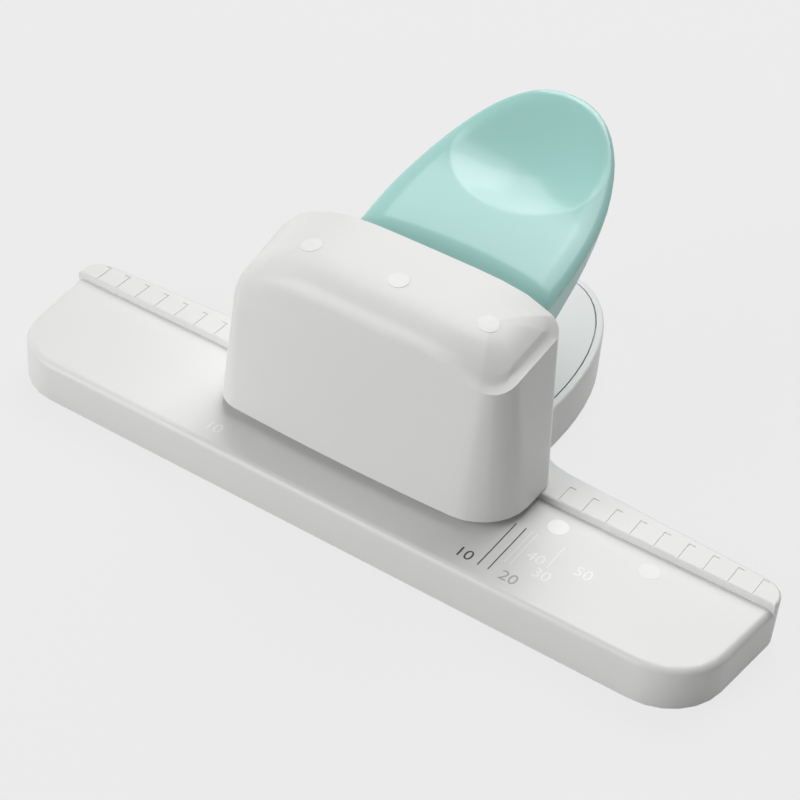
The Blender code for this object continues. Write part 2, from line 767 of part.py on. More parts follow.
def make_screws(parts, cutters):
    """Two screws for the frame and two for the head cover."""
    metal = steel()
    for side, word in ((-1, "left"), (1, "right")):
        make_screw(
            "frame_screw_" + word, side * FRAME_SCREW_X, FRAME_SCREW_Y, FRAME_FLOOR + SCREW_STANDOUT,
            metal, parts, cutters)
        make_screw(
            "head_screw_" + word, side * COVER_SCREW_X, COVER_SCREW_Y, CEILING_Z + COVER_SCREW_REACH,
            metal, parts, cutters)


def make_chip_cover(parts, cutters):
    """Hinged cover under the chip bay, with knuckles in front and a catch at the back."""
    half = BAY_HALF_LENGTH - RIB_THICKNESS / 2.0 - FIT_GAP
    back = BAY_BACK_REACH - FIT_GAP
    loop = inset_loop(base_outline(), BASE_WALL + FIT_GAP)
    cover = prism("chip_cover", loop, COVER_BOTTOM, COVER_BOTTOM + COVER_THICKNESS, parts)
    keep_inside(cover, box_shape("cover_limit", (-half, HINGE_Y, 0.0), (half, back, BED_HEIGHT), cutters))
    for side in (-1, 1):
        knuckle = rod_shape(
            "knuckle", (side * half, HINGE_Y, HINGE_Z), (side * (half - KNUCKLE_LENGTH), HINGE_Y, HINGE_Z),
            KNUCKLE_RADIUS, parts)
        join(cover, knuckle)
    catch_top = COVER_BOTTOM + COVER_THICKNESS + CATCH_HEIGHT
    join(cover, box_shape(
        "catch", (-CATCH_WIDTH / 2.0, back - CATCH_THICKNESS, COVER_BOTTOM),
        (CATCH_WIDTH / 2.0, back, catch_top), parts))
    for side in (-1, 1):
        cut(cover, rod_shape(
            "knuckle_bore", (side * (half + CUT_OVERRUN), HINGE_Y, HINGE_Z),
            (side * (half - KNUCKLE_LENGTH - CUT_OVERRUN), HINGE_Y, HINGE_Z),
            HINGE_PIN_RADIUS + FIT_GAP, cutters))
    return finish(clean(cover), smoke_plastic())


def make_cover_hinge_pins(parts):
    """Short pins held in the bay's cross walls."""
    metal = steel()
    for side, word in ((-1, "left"), (1, "right")):
        outer = side * (BAY_HALF_LENGTH + RIB_THICKNESS / 2.0)
        inner = outer - side * HINGE_PIN_LENGTH
        finish(rod_shape(
            "cover_hinge_pin_" + word, (inner, HINGE_Y, HINGE_Z), (outer, HINGE_Y, HINGE_Z),
            HINGE_PIN_RADIUS, parts, 12), metal)


def channel_profile():
    """Bent sheet seen along X: floor, back wall and upper guide plate."""
    outer = [
        (-FRAME_FRONT, FRAME_BOTTOM, 0.0), (FRAME_BACK, FRAME_BOTTOM, FRAME_BEND + SHEET),
        (FRAME_BACK, FRAME_TOP, FRAME_BEND + SHEET), (-FRAME_LIP, FRAME_TOP, 0.0),
        (-FRAME_LIP, FRAME_TOP - SHEET, 0.0), (FRAME_BACK - SHEET, FRAME_TOP - SHEET, FRAME_BEND),
        (FRAME_BACK - SHEET, FRAME_FLOOR, FRAME_BEND), (-FRAME_FRONT, FRAME_FLOOR, 0.0)]
    return rounded_outline(outer, 4)


def ear_profile():
    """Ear seen along X: broad foot, sloping back and a round head about the shaft."""
    points = [(-FRAME_FRONT, FRAME_BOTTOM), (FRAME_BACK - FRAME_BEND - SHEET, FRAME_BOTTOM)]
    points.append((FRAME_BACK - FRAME_BEND - SHEET, FRAME_BOTTOM + EAR_SHOULDER))
    points += circle_points(PIVOT_Y, PIVOT_Z, EAR_RADIUS, *EAR_DEGREES, ARC_STEPS * 2)
    points.append((-FRAME_FRONT, PIVOT_Z - EAR_SHOULDER))
    return points


def make_punch_frame(parts, cutters):
    """Steel frame: two guide plates for the pins and two ears for the shaft."""
    half = EAR_INNER + FRAME_BEND / 2.0
    frame = side_prism("punch_frame", channel_profile(), -half, half, parts)
    for side in (-1, 1):
        ear = side_prism("ear", ear_profile(), side * EAR_INNER, side * EAR_OUTER, parts)
        join(frame, ear)
    for x in hole_places():
        cut(frame, rod_shape(
            "guide_hole", (x, 0.0, 0.0), (x, 0.0, FRAME_TOP + CUT_OVERRUN), PIN_RADIUS + FIT_GAP, cutters))
    for side in (-1, 1):
        x = side * FRAME_SCREW_X
        cut(frame, rod_shape(
            "screw_hole", (x, FRAME_SCREW_Y, 0.0), (x, FRAME_SCREW_Y, FRAME_FLOOR + SHEET),
            SCREW_RADIUS + FIT_GAP, cutters, SHANK_SIDES))
    cut(frame, rod_shape(
        "shaft_hole", (-SHAFT_HALF, PIVOT_Y, PIVOT_Z), (SHAFT_HALF, PIVOT_Y, PIVOT_Z),
        SHAFT_RADIUS + FIT_GAP, cutters))
    return finish(clean(frame), plated_steel())


def clip_x():
    """Inner face of a shaft clip."""
    return EAR_OUTER + FIT_GAP


def make_lever_shaft(parts, cutters):
    """Cross shaft with a groove near each end."""
    shaft = rod_shape(
        "lever_shaft", (-SHAFT_HALF, PIVOT_Y, PIVOT_Z), (SHAFT_HALF, PIVOT_Y, PIVOT_Z), SHAFT_RADIUS, parts)
    for side in (-1, 1):
        start = side * (clip_x() - FIT_GAP / 2.0)
        end = side * (clip_x() + CLIP_THICKNESS + FIT_GAP)
        ring = rod_shape("groove", (start, PIVOT_Y, PIVOT_Z), (end, PIVOT_Y, PIVOT_Z), CLIP_RADIUS, cutters)
        over = side * CUT_OVERRUN
        cut(ring, rod_shape(
            "groove_core", (start - over, PIVOT_Y, PIVOT_Z), (end + over, PIVOT_Y, PIVOT_Z),
            SHAFT_RADIUS - CLIP_GROOVE_DEPTH, cutters))
        cut(shaft, ring)
    return finish(clean(shaft), steel())


def make_shaft_clips(parts, cutters):
    """Open retaining rings in the shaft's grooves."""
    metal = spring_steel()
    for side, word in ((-1, "left"), (1, "right")):
        start = (side * clip_x(), PIVOT_Y, PIVOT_Z)
        end = (side * (clip_x() + CLIP_THICKNESS), PIVOT_Y, PIVOT_Z)
        clip = rod_shape("shaft_clip_" + word, start, end, CLIP_RADIUS, parts)
        bore = SHAFT_RADIUS - CLIP_GROOVE_DEPTH + FIT_GAP
        over = side * CUT_OVERRUN
        cut(clip, rod_shape(
            "bore", (start[0] - over, PIVOT_Y, PIVOT_Z), (end[0] + over, PIVOT_Y, PIVOT_Z), bore, cutters))
        low_x = min(start[0], end[0]) - CUT_OVERRUN
        high_x = max(start[0], end[0]) + CUT_OVERRUN
        cut(clip, box_shape(
            "mouth", (low_x, PIVOT_Y - bore, PIVOT_Z - CLIP_RADIUS - CUT_OVERRUN),
            (high_x, PIVOT_Y + bore, PIVOT_Z), cutters))
        finish(clean(clip), metal)


def pin_profile():
    """Half profile of a punch pin, (radius, z), from the top down its outer side."""
    groove_top = RING_Z + RING_THICKNESS + FIT_GAP
    groove_low = RING_Z - FIT_GAP
    neck = PIN_RADIUS - PIN_GROOVE_DEPTH
    return [
        (0.0, PIN_TOP_Z),
        (PIN_HEAD_RADIUS - PIN_CHAMFER, PIN_TOP_Z),
        (PIN_HEAD_RADIUS, PIN_TOP_Z - PIN_CHAMFER),
        (PIN_HEAD_RADIUS, PIN_HEAD_Z),
        (PIN_RADIUS, PIN_HEAD_Z),
        (PIN_RADIUS, groove_top),
        (neck, groove_top),
        (neck, groove_low),
        (PIN_RADIUS, groove_low),
        (PIN_RADIUS, PIN_TIP_Z),
        (0.0, PIN_TIP_Z),
    ]


def turned(name, profile, x, collection, sides=ROUND_SIDES):
    """Turn a (radius, z) profile about a vertical axis at x."""
    shape = bmesh.new()
    line = [shape.verts.new((radius, 0.0, height)) for radius, height in profile]
    for upper, lower in zip(line, line[1:]):
        shape.edges.new((upper, lower))
    mesh = bpy.data.meshes.new(name)
    shape.to_mesh(mesh)
    shape.free()
    item = bpy.data.objects.new(name, mesh)
    collection.objects.link(item)
    item.location.x = x
    screw = item.modifiers.new("turn", "SCREW")
    screw.steps = sides
    screw.render_steps = sides
    screw.use_merge_vertices = True
    screw.merge_threshold = 0.00001
    return item


def make_punch_pin(name, x, material, parts, cutters):
    """Punch with a head, a ring groove and a hollow-ground cutting end."""
    pin = turned(name, pin_profile(), x, parts)
    grind_z = PIN_TIP_Z + PIN_GRIND_DEPTH - PIN_GRIND_RADIUS
    grinder = rod_shape(
        "grinder", (x, -PIN_RADIUS - CUT_OVERRUN, grind_z), (x, PIN_RADIUS + CUT_OVERRUN, grind_z),
        PIN_GRIND_RADIUS, cutters, 40)
    cut(pin, grinder)
    return finish(clean(pin), material)


def make_pin_ring(name, x, material, parts, cutters):
    """Open retaining ring, the pin's upper stop under the guide plate."""
    ring = rod_shape(name, (x, 0.0, RING_Z), (x, 0.0, RING_Z + RING_THICKNESS), RING_RADIUS, parts)
    bore = PIN_RADIUS - PIN_GROOVE_DEPTH + FIT_GAP
    high_z = RING_Z + RING_THICKNESS + CUT_OVERRUN
    cut(ring, rod_shape("bore", (x, 0.0, RING_Z - CUT_OVERRUN), (x, 0.0, high_z), bore, cutters))
    cut(ring, box_shape(
        "mouth", (x - RING_MOUTH / 2.0, -RING_RADIUS - CUT_OVERRUN, RING_Z - CUT_OVERRUN),
        (x + RING_MOUTH / 2.0, 0.0, RING_Z + RING_THICKNESS + CUT_OVERRUN), cutters))
    return finish(clean(ring), material)


def spring_points(x):
    """Centre line of a return spring: straight ends one wire thick and a helix between."""
    points = []
    low = SPRING_LOW + 2.0 * WIRE_RADIUS
    high = SPRING_HIGH - 2.0 * WIRE_RADIUS
    count = SPRING_CURLS * POINTS_PER_CURL
    for step in range(count + 1):
        angle = 2.0 * math.pi * step / POINTS_PER_CURL
        height = low + (high - low) * step / count
        points.append(Vector((
            x + SPRING_RADIUS * math.cos(angle), SPRING_RADIUS * math.sin(angle), height)))
    first = points[0].copy()
    first.z = SPRING_LOW
    last = points[-1].copy()
    last.z = SPRING_HIGH
    return [first] + points + [last]


def least_turn_gap(points):
    """Smallest clear distance between neighbouring turns of the wire."""
    apart = POINTS_PER_CURL // 2
    nearest = min(
        (points[first] - points[second]).length
        for first in range(len(points)) for second in range(first + apart, len(points)))
    return nearest - 2.0 * WIRE_RADIUS


def make_pin_spring(name, x, material, parts):
    """Return spring under a pin's head."""
    points = spring_points(x)
    gap = least_turn_gap(points)
    print(name, "least gap to itself in mm:", round(gap / MM, 3), "wanted over", LEAST_WIRE_GAP / MM)
    curve = bpy.data.curves.new(name, "CURVE")
    curve.dimensions = "3D"
    curve.bevel_depth = WIRE_RADIUS
    curve.bevel_resolution = 1
    curve.use_fill_caps = True
    line = curve.splines.new("POLY")
    line.points.add(len(points) - 1)
    for place, point in zip(line.points, points):
        place.co = (*point, 1.0)
    guide = bpy.data.objects.new(name + "_line", curve)
    parts.objects.link(guide)
    graph = bpy.context.evaluated_depsgraph_get()
    mesh = bpy.data.meshes.new_from_object(guide.evaluated_get(graph))
    placing = guide.matrix_world.copy()
    bpy.data.objects.remove(guide, do_unlink=True)
    shape = bmesh.new()
    shape.from_mesh(mesh)
    bmesh.ops.remove_doubles(shape, verts=shape.verts, dist=WELD)
    spring = link_mesh(name, shape, parts)
    spring.matrix_world = placing
    return finish(spring, material)


def make_pins(parts, cutters):
    """The three punches with their rings and springs."""
    metal = steel()
    wire = spring_steel()
    for word, x in zip(("left", "middle", "right"), hole_places()):
        make_punch_pin("punch_pin_" + word, x, metal, parts, cutters)
        make_pin_ring("pin_ring_" + word, x, wire, parts, cutters)
        make_pin_spring("pin_spring_" + word, x, wire, parts)


def head_loop(height, inset):
    """Plan of the head's walls at one height, drawn in by the draft and an inset."""
    rise = height - CEILING_Z
    right = HEAD_RIGHT - HEAD_SIDE_DRAFT * rise - inset
    left = -HEAD_LEFT + HEAD_SIDE_DRAFT * rise + inset
    front = -HEAD_FRONT + HEAD_FRONT_DRAFT * rise + inset
    back = HEAD_BACK - HEAD_BACK_DRAFT * rise - inset
    share = 1.0 - (1.0 - HEAD_TOP_RADIUS_SHARE) * rise / HEAD_DRAFT_HEIGHT
    back_radius = HEAD_BACK_RADIUS * share - inset
    rounded = rounded_outline([
        (right, front, HEAD_RIGHT_RADIUS * share - inset), (right, back, back_radius),
        (left, back, back_radius), (left, front, HEAD_LEFT_RADIUS * share - inset)], HEAD_CORNER_STEPS)
    right_side = rounded[:2 * HEAD_CORNER_STEPS + 2]
    left_side = rounded[2 * HEAD_CORNER_STEPS + 2:]
    loop = right_side + between(right_side[-1], left_side[0])
    loop += left_side + between(left_side[-1], right_side[0])
    return [(x, y * bow(x, left, right) if y < 0.0 else y) for x, y in loop]


def bow(x, left, right):
    """Factor by which the front half stands further forward, most of all in the middle."""
    across = (2.0 * x - left - right) / (right - left)
    return 1.0 + HEAD_BOW_SHARE * (1.0 - across ** 2)


def between(start, end):
    """Points that divide one straight side of the head."""
    shares = [step / HEAD_SIDE_STEPS for step in range(1, HEAD_SIDE_STEPS)]
    return [tuple(Vector(start).lerp(Vector(end), share)) for share in shares]


def head_top(x, y):
    """Height of the crowned top over a plan point."""
    right = HEAD_RIGHT - HEAD_SIDE_DRAFT * HEAD_DRAFT_HEIGHT
    left = HEAD_LEFT - HEAD_SIDE_DRAFT * HEAD_DRAFT_HEIGHT
    front = (HEAD_FRONT - HEAD_FRONT_DRAFT * HEAD_DRAFT_HEIGHT) * bow(x, -left, right)
    if x > 0.0:
        side_drop = HEAD_SHOULDER_DROP * (x / right) ** HEAD_SHOULDER_POWER
    else:
        side_drop = HEAD_LEFT_DROP * (-x / left) ** HEAD_LEFT_POWER
    back_drop = HEAD_BACK_SLOPE * (HEAD_BACK - y)
    ahead = min(max((HEAD_SPINE_Y - y) / (HEAD_SPINE_Y + front), 0.0), 1.0)
    front_drop = HEAD_FRONT_DROP * (1.0 - math.sqrt(1.0 - ahead ** 2))
    return HEAD_CREST - side_drop - back_drop - front_drop


def head_spine():
    """Points on the head's middle line that the plan points are drawn towards, in their order."""
    right = Vector((HEAD_SPINE_HALF, HEAD_SPINE_Y))
    left = Vector((-HEAD_SPINE_HALF, HEAD_SPINE_Y))
    corner_points = 2 * HEAD_CORNER_STEPS + 2
    line = [Vector(point) for point in between(right, left)]
    return [right] * corner_points + line + [left] * corner_points + line[::-1]


def drawn_in(point, spine, distance, share=0.0):
    """Move a plan point towards its spine by a distance, then by a share of what is left."""
    way = spine - Vector(point)
    near = Vector(point) + way * min(distance / way.length, 1.0)
    return near.lerp(spine, share)


def step_weight(value, start, blend):
    """Smooth step from 0 to 1."""
    share = min(max((value - start) / blend, 0.0), 1.0)
    return share * share * (3.0 - 2.0 * share)


def edge_weights(x, y):
    """How much of the cove and of the plain round runs under the top's edge at a wall point."""
    side = step_weight(abs(x), HEAD_COVE_START, HEAD_COVE_BLEND)
    side *= 1.0 - step_weight(y, HEAD_BACK - HEAD_BACK_RADIUS, HEAD_BACK_RADIUS)
    if x > 0.0:
        return side, 0.0
    coved = step_weight(y, HEAD_COVE_LEFT_Y, HEAD_COVE_BLEND)
    return side * coved, side * (1.0 - coved)


def head_form(name, inset, ceiling, insets, shares, cove_drops, round_drops, floor, collection):
    """The head as a closed form: drafted walls and rings over the crown."""
    top_loop = head_loop(CEILING_Z + HEAD_DRAFT_HEIGHT, inset)
    pairs = list(zip(top_loop, head_spine()))
    crease = insets[-1]
    layers = [at_height(head_loop(CEILING_Z, inset), floor)]
    for distance, cove_drop, round_drop in zip(insets, cove_drops, round_drops):
        layer = []
        for point, spine in pairs:
            place = drawn_in(point, spine, distance)
            edge = drawn_in(point, spine, crease)
            plain = head_top(place.x, place.y)
            level = head_top(edge.x, edge.y)
            coved, rounded = edge_weights(point[0], point[1])
            height = plain + (level - cove_drop - plain) * coved - round_drop * rounded
            layer.append((place.x, place.y, height - ceiling))
        layers.append(layer)
    for share in shares:
        places = [drawn_in(point, spine, crease, share) for point, spine in pairs]
        layers.append([(place.x, place.y, head_top(place.x, place.y) - ceiling) for place in places])
    return crown_shape(name, layers, collection)


def make_head_cover(parts, cutters):
    """White shell over the mechanism, open below and with a doorway for the lever behind."""
    head = head_form(
        "head_cover", 0.0, 0.0, HEAD_INSETS, HEAD_RING_SHARES, HEAD_COVE_DROPS, HEAD_ROUND_DROPS,
        CEILING_Z, parts)
    lining = head_form(
        "lining", HEAD_WALL, HEAD_CEILING, HEAD_LINING_INSETS, HEAD_LINING_SHARES, HEAD_LINING_DROPS,
        HEAD_LINING_DROPS, CEILING_Z - CUT_OVERRUN, cutters)
    cut(head, lining)
    for side in (-1, 1):
        boss = rod_shape(
            "boss", (side * COVER_SCREW_X, COVER_SCREW_Y, CEILING_Z),
            (side * COVER_SCREW_X, COVER_SCREW_Y, CEILING_Z + COVER_BOSS_HEIGHT), COVER_BOSS_RADIUS, parts)
        join(head, boss)
        reach = (HEAD_RIGHT if side > 0 else HEAD_LEFT) - HEAD_WALL / 2.0
        near, far = sorted((side * COVER_SCREW_X, side * reach))
        join(head, box_shape(
            "web", (near, COVER_SCREW_Y - COVER_WEB / 2.0, CEILING_Z + HEAD_WEB_LIFT),
            (far, COVER_SCREW_Y + COVER_WEB / 2.0, CEILING_Z + COVER_BOSS_HEIGHT - HEAD_WEB_LIFT), parts))
        cut(head, rod_shape(
            "pilot", (side * COVER_SCREW_X, COVER_SCREW_Y, 0.0),
            (side * COVER_SCREW_X, COVER_SCREW_Y, CEILING_Z + COVER_SCREW_REACH + FIT_GAP),
            SCREW_RADIUS + FIT_GAP, cutters, SHANK_SIDES))
    cut(head, box_shape(
        "door", (-DOOR_HALF, FRAME_BACK - FIT_GAP, DOOR_BOTTOM),
        (DOOR_HALF, HEAD_BACK + CUT_OVERRUN, DOOR_TOP), cutters))
    return finish(clean(head), white_plastic(), HEAD_SHARP_ANGLE)


def lever_loop(inset, front):
    """Plan of the lever: straight front and sides and an egg-shaped tip."""
    half = LEVER_HALF_WIDTH - inset
    length = LEVER_TIP_Y - LEVER_RIDGE_Y
    right_side = [(half * step / NOSE_STEPS, front) for step in range(NOSE_STEPS)]
    for step in range(LEVER_SIDE_STEPS):
        share = step / LEVER_SIDE_STEPS
        right_side.append((half, front + (LEVER_RIDGE_Y - front) * share))
    right_side += egg_side(LEVER_HALF_WIDTH, LEVER_RIDGE_Y, length, LEVER_ROUNDNESS, LEVER_STEPS, inset)
    return mirrored(right_side)


def rise_top(y):
    """Height of the lever's top behind the ridge, with its curled tip."""
    height = LEVER_RIDGE_Z + LEVER_SLOPE * (y - LEVER_RIDGE_Y)
    curl = max(y - LEVER_CURL_START, 0.0) / (LEVER_TIP_Y - LEVER_CURL_START)
    return height + LEVER_CURL_RISE * curl ** 2


def bowl_depth(x, y):
    """Depth of the thumb hollow."""
    across = x / SPOON_HALF_WIDTH
    along = (y - SPOON_Y) / SPOON_HALF_LENGTH
    return SPOON_DEPTH * max(1.0 - across ** 2 - along ** 2, 0.0) ** 1.2


def nose_top(x, y):
    """Height of the hollow-curved nose in front of the ridge."""
    share = max(y - LEVER_FRONT, 0.0) / (LEVER_RIDGE_Y - LEVER_FRONT)
    return NOSE_Z + NOSE_RISE * share ** 2 + NOSE_SIDE_RISE * (x / LEVER_HALF_WIDTH) ** 2


def lever_top(x, y):
    """Height of the lever's top anywhere."""
    return min(rise_top(y), nose_top(x, y)) - bowl_depth(x, y)


def lever_floor(y):
    """Height of the skirt's lower edge, which runs out into a thin rim at the tip."""
    skirt = LEVER_SKIRT_Z + LEVER_SKIRT_SLOPE * (y - LEVER_SKIRT_Y)
    return min(skirt, rise_top(y) - LEVER_EDGE_ROUND - LEVER_RIM)


def lever_spine(point):
    """Point on the lever's middle line that a plan point is drawn towards."""
    return Vector((0.0, min(max(point[1], LEVER_SPINE_START), LEVER_SPINE_END)))


def make_lever_shell(parts):
    """Outer form of the lever with a rounded upper edge, before its nose is cut."""
    loop = lever_loop(0.0, LEVER_FRONT)
    layers = [[(x, y, lever_floor(y)) for x, y in loop]]
    for share in LEVER_ROUND_SHARES:
        drop = LEVER_EDGE_ROUND * (1.0 - math.sqrt(1.0 - (1.0 - share) ** 2))
        places = [drawn_in(point, lever_spine(point), LEVER_EDGE_ROUND * share) for point in loop]
        layers.append([(place.x, place.y, rise_top(place.y) - drop) for place in places])
    for share in LEVER_RING_SHARES:
        places = [drawn_in(point, lever_spine(point), LEVER_EDGE_ROUND, share) for point in loop]
        layers.append([
            (place.x, place.y, rise_top(place.y) - bowl_depth(place.x, place.y)) for place in places])
    return crown_shape("lever", layers, parts)


def make_lever_hollow(cutters):
    """Inside of the lever, open below and in front."""
    loop = lever_loop(LEVER_WALL, LEVER_FRONT - CUT_OVERRUN)
    layers = [[(x, y, lever_floor(y) - CUT_OVERRUN) for x, y in loop]]
    layers.append([(x, y, lever_top(x, y) - LEVER_WALL - LEVER_EDGE_ROUND / 2.0) for x, y in loop])
    for share in HOLLOW_RING_SHARES:
        places = [drawn_in(point, lever_spine(point), LEVER_EDGE_ROUND, share) for point in loop]
        layers.append([(place.x, place.y, lever_top(place.x, place.y) - LEVER_WALL) for place in places])
    return crown_shape("hollow", layers, cutters)


def make_nose_cutter(cutters):
    """Block whose lower face is the nose surface, so that it leaves a crisp ridge."""
    half = LEVER_HALF_WIDTH + CUT_OVERRUN
    front = LEVER_FRONT - CUT_OVERRUN
    back = LEVER_RIDGE_Y + 2.0 * CUT_OVERRUN
    rows = []
    for step in range(NOSE_STEPS * 2 + 1):
        x = half * (step / NOSE_STEPS - 1.0)
        stations = [front + (back - front) * place / NOSE_STEPS for place in range(NOSE_STEPS + 1)]
        row = [(x, y, nose_top(x, y)) for y in stations]
        row.append((x, back, HEAD_CREST + LEVER_TIP_Y))
        row.append((x, front, HEAD_CREST + LEVER_TIP_Y))
        rows.append(row)
    return stack_shape("nose_cutter", rows, cutters)


def circle_points(y, z, radius, start, end, steps):
    """Points of an arc in the (y, z) plane, angles in degrees."""
    angles = [math.radians(start + (end - start) * step / steps) for step in range(steps + 1)]
    return [(y + radius * math.cos(angle), z + radius * math.sin(angle)) for angle in angles]


def hub_profile():
    """Wall round the shaft and the press rod, seen along X, with the bridge over both."""
    rod_wall = PRESS_ROD_RADIUS + ARM_ROD_WALL
    hub = BARREL_RADIUS + FIT_GAP
    return (circle_points(PIVOT_Y, PIVOT_Z, hub, *HUB_DEGREES, ARC_STEPS * 2)
            + circle_points(ROD_Y, ROD_Z, rod_wall, *ROD_WALL_DEGREES, ARC_STEPS))


def outer_arm_profile():
    """End wall round the shaft and the press rod."""
    top = NOSE_Z - BRIDGE_STEP
    return hub_profile() + [(LEVER_FRONT, top - LEVER_WALL), (LEVER_FRONT, top)]


def inner_arm_profile():
    """Arm from the shaft over the press rod that goes on as a rib under the thumb shell."""
    points = hub_profile()
    points.append((ARM_LOW_Y, ARM_LOW_Z))
    points.append((ARM_END_Y, lever_top(INNER_ARM_X, ARM_END_Y) - ARM_END_DEPTH))
    for step in range(ARM_STEPS + 1):
        y = ARM_END_Y + (LEVER_FRONT - ARM_END_Y) * step / ARM_STEPS
        points.append((y, lever_top(INNER_ARM_X, y) - LEVER_WALL / 2.0))
    return points


def bridge_profile():
    """Plate over the shaft and the press rod, seen along X."""
    back = LEVER_FRONT + LEVER_WALL
    top = NOSE_Z - BRIDGE_STEP
    return [
        (PIVOT_Y, PIVOT_Z + SHAFT_RADIUS + FIT_GAP * 2.0), (LEVER_FRONT / 2.0, top - LEVER_WALL),
        (back, top - LEVER_WALL), (back, top), (LEVER_FRONT / 2.0, top), (PIVOT_Y, PIVOT_Z + BARREL_RADIUS)]


def make_lever(parts, cutters):
    """Mint lever: hollow thumb shell, bridge, barrel on the shaft and arms round the press rod."""
    lever = make_lever_shell(parts)
    cut(lever, make_nose_cutter(cutters))
    cut(lever, make_lever_hollow(cutters))
    half = EAR_INNER - FIT_GAP
    join(lever, side_prism("bridge", bridge_profile(), -half, half, parts))
    for side in (-1, 1):
        near = side * (PIN_HEAD_RADIUS + BARREL_RELIEF)
        far = side * (HOLE_PITCH - PIN_HEAD_RADIUS - BARREL_RELIEF)
        join(lever, rod_shape(
            "barrel", (near, PIVOT_Y, PIVOT_Z), (far, PIVOT_Y, PIVOT_Z),
            BARREL_RADIUS, parts, BARREL_SIDES))
        outer = side * half
        inner = side * (half - OUTER_ARM_THICKNESS)
        join(lever, side_prism("outer_arm", outer_arm_profile(), inner, outer, parts))
        outer = side * (INNER_ARM_X + INNER_ARM_THICKNESS / 2.0)
        inner = side * (INNER_ARM_X - INNER_ARM_THICKNESS / 2.0)
        join(lever, side_prism("inner_arm", inner_arm_profile(), inner, outer, parts))
    for name, y, z, radius in (
            ("shaft_bore", PIVOT_Y, PIVOT_Z, SHAFT_RADIUS), ("rod_bore", ROD_Y, ROD_Z, PRESS_ROD_RADIUS)):
        cut(lever, rod_shape(name, (-SHAFT_HALF, y, z), (SHAFT_HALF, y, z), radius + FIT_GAP, cutters))
    return finish(clean(lever), mint_plastic(), LEVER_SHARP_ANGLE)


def make_press_rod(parts):
    """Rod across the lever that rests just over the three pin heads."""
    half = EAR_INNER - FIT_GAP
    return finish(rod_shape(
        "press_rod", (-half, ROD_Y, ROD_Z), (half, ROD_Y, ROD_Z), PRESS_ROD_RADIUS, parts), steel())


def hang_on(name, place, pieces, parts):
    """Parent pieces to an empty at one place and leave them where they are."""
    anchor = bpy.data.objects.new(name, None)
    anchor.location = place
    parts.objects.link(anchor)
    bpy.context.view_layer.update()
    for piece in pieces:
        piece.parent = anchor
        piece.matrix_parent_inverse = anchor.matrix_world.inverted()
    return anchor


def place_on_joints(parts):
    """Hang every moving piece on its joint, and the whole on the middle of its footprint."""
    pieces = parts.objects
    hang_on("lever_axis", (0.0, PIVOT_Y, PIVOT_Z), [pieces["lever"], pieces["press_rod"]], parts)
    hang_on("cover_axis", (0.0, HINGE_Y, HINGE_Z), [pieces["chip_cover"]], parts)
    for word, x in zip(("left", "middle", "right"), hole_places()):
        pin = [pieces["punch_pin_" + word], pieces["pin_ring_" + word]]
        hang_on("pin_axis_" + word, (x, 0.0, PIN_TIP_Z), pin, parts)
    middle_y = (TONGUE_CENTRE + TONGUE_LENGTH - FRONT_REACH) / 2.0
    loose = [piece for piece in pieces if piece.parent is None]
    footprint = hang_on("footprint_centre", (0.0, middle_y, 0.0), loose, parts)
    footprint.location = (0.0, 0.0, 0.0)


def build():
    """Build the whole punch."""
    clear_scene()
    parts = new_collection("three_hole_punch")
    cutters = new_collection("cutters")
    make_base_body(parts, cutters)
    make_tongue_inlay(parts)
    make_die_plate(parts, cutters)
    make_feet(parts)
    make_screws(parts, cutters)
    make_chip_cover(parts, cutters)
    make_cover_hinge_pins(parts)
    make_punch_frame(parts, cutters)
    make_lever_shaft(parts, cutters)
    make_shaft_clips(parts, cutters)
    make_pins(parts, cutters)
    make_head_cover(parts, cutters)
    make_lever(parts, cutters)
    make_press_rod(parts)
    place_on_joints(parts)


build()
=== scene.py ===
"""Looks of the three-hole punch: finishes, printed marks, springs, feet, floor, light and camera."""
import math

import bmesh
import bpy
from mathutils import Matrix, Vector
from mathutils.bvhtree import BVHTree
from mathutils.kdtree import KDTree


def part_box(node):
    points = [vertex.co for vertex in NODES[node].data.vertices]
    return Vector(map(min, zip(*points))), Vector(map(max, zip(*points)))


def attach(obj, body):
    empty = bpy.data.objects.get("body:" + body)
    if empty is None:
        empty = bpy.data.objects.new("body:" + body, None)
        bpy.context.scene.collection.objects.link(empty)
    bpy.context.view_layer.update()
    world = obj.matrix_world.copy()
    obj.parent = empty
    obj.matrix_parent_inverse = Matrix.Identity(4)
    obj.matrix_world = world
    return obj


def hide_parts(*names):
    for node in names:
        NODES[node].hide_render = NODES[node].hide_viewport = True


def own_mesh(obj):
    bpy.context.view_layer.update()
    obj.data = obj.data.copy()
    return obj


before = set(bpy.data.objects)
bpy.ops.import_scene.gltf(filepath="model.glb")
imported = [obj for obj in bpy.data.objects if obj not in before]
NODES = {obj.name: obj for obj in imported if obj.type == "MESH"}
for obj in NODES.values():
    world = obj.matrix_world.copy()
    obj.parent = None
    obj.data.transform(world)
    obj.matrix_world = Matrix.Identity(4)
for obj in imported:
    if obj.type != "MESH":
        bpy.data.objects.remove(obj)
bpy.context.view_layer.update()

MM = 0.001

# Places read from the frame
PIN_LOW, PIN_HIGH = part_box("punch_pin_middle")
PIN_LINE_Y = (PIN_LOW.y + PIN_HIGH.y) / 2.0
BED_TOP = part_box("die_plate")[1].z
HOLE_PITCH = 19.0 * MM
HOLE_RADIUS = 2.0 * MM

# Distances under which corners are joined: of a CAD node's loose triangles, and of a spun shape's seam
MERGE = 0.002 * MM
SEAM = 0.001 * MM

# Edges sharper than this stay crisp, in degrees
SHARP = 32.0
HEAD_SHARP = 30.0
LEVER_SHARP = 38.0
SPRING_SHARP = 60.0
FOOT_SHARP = 50.0

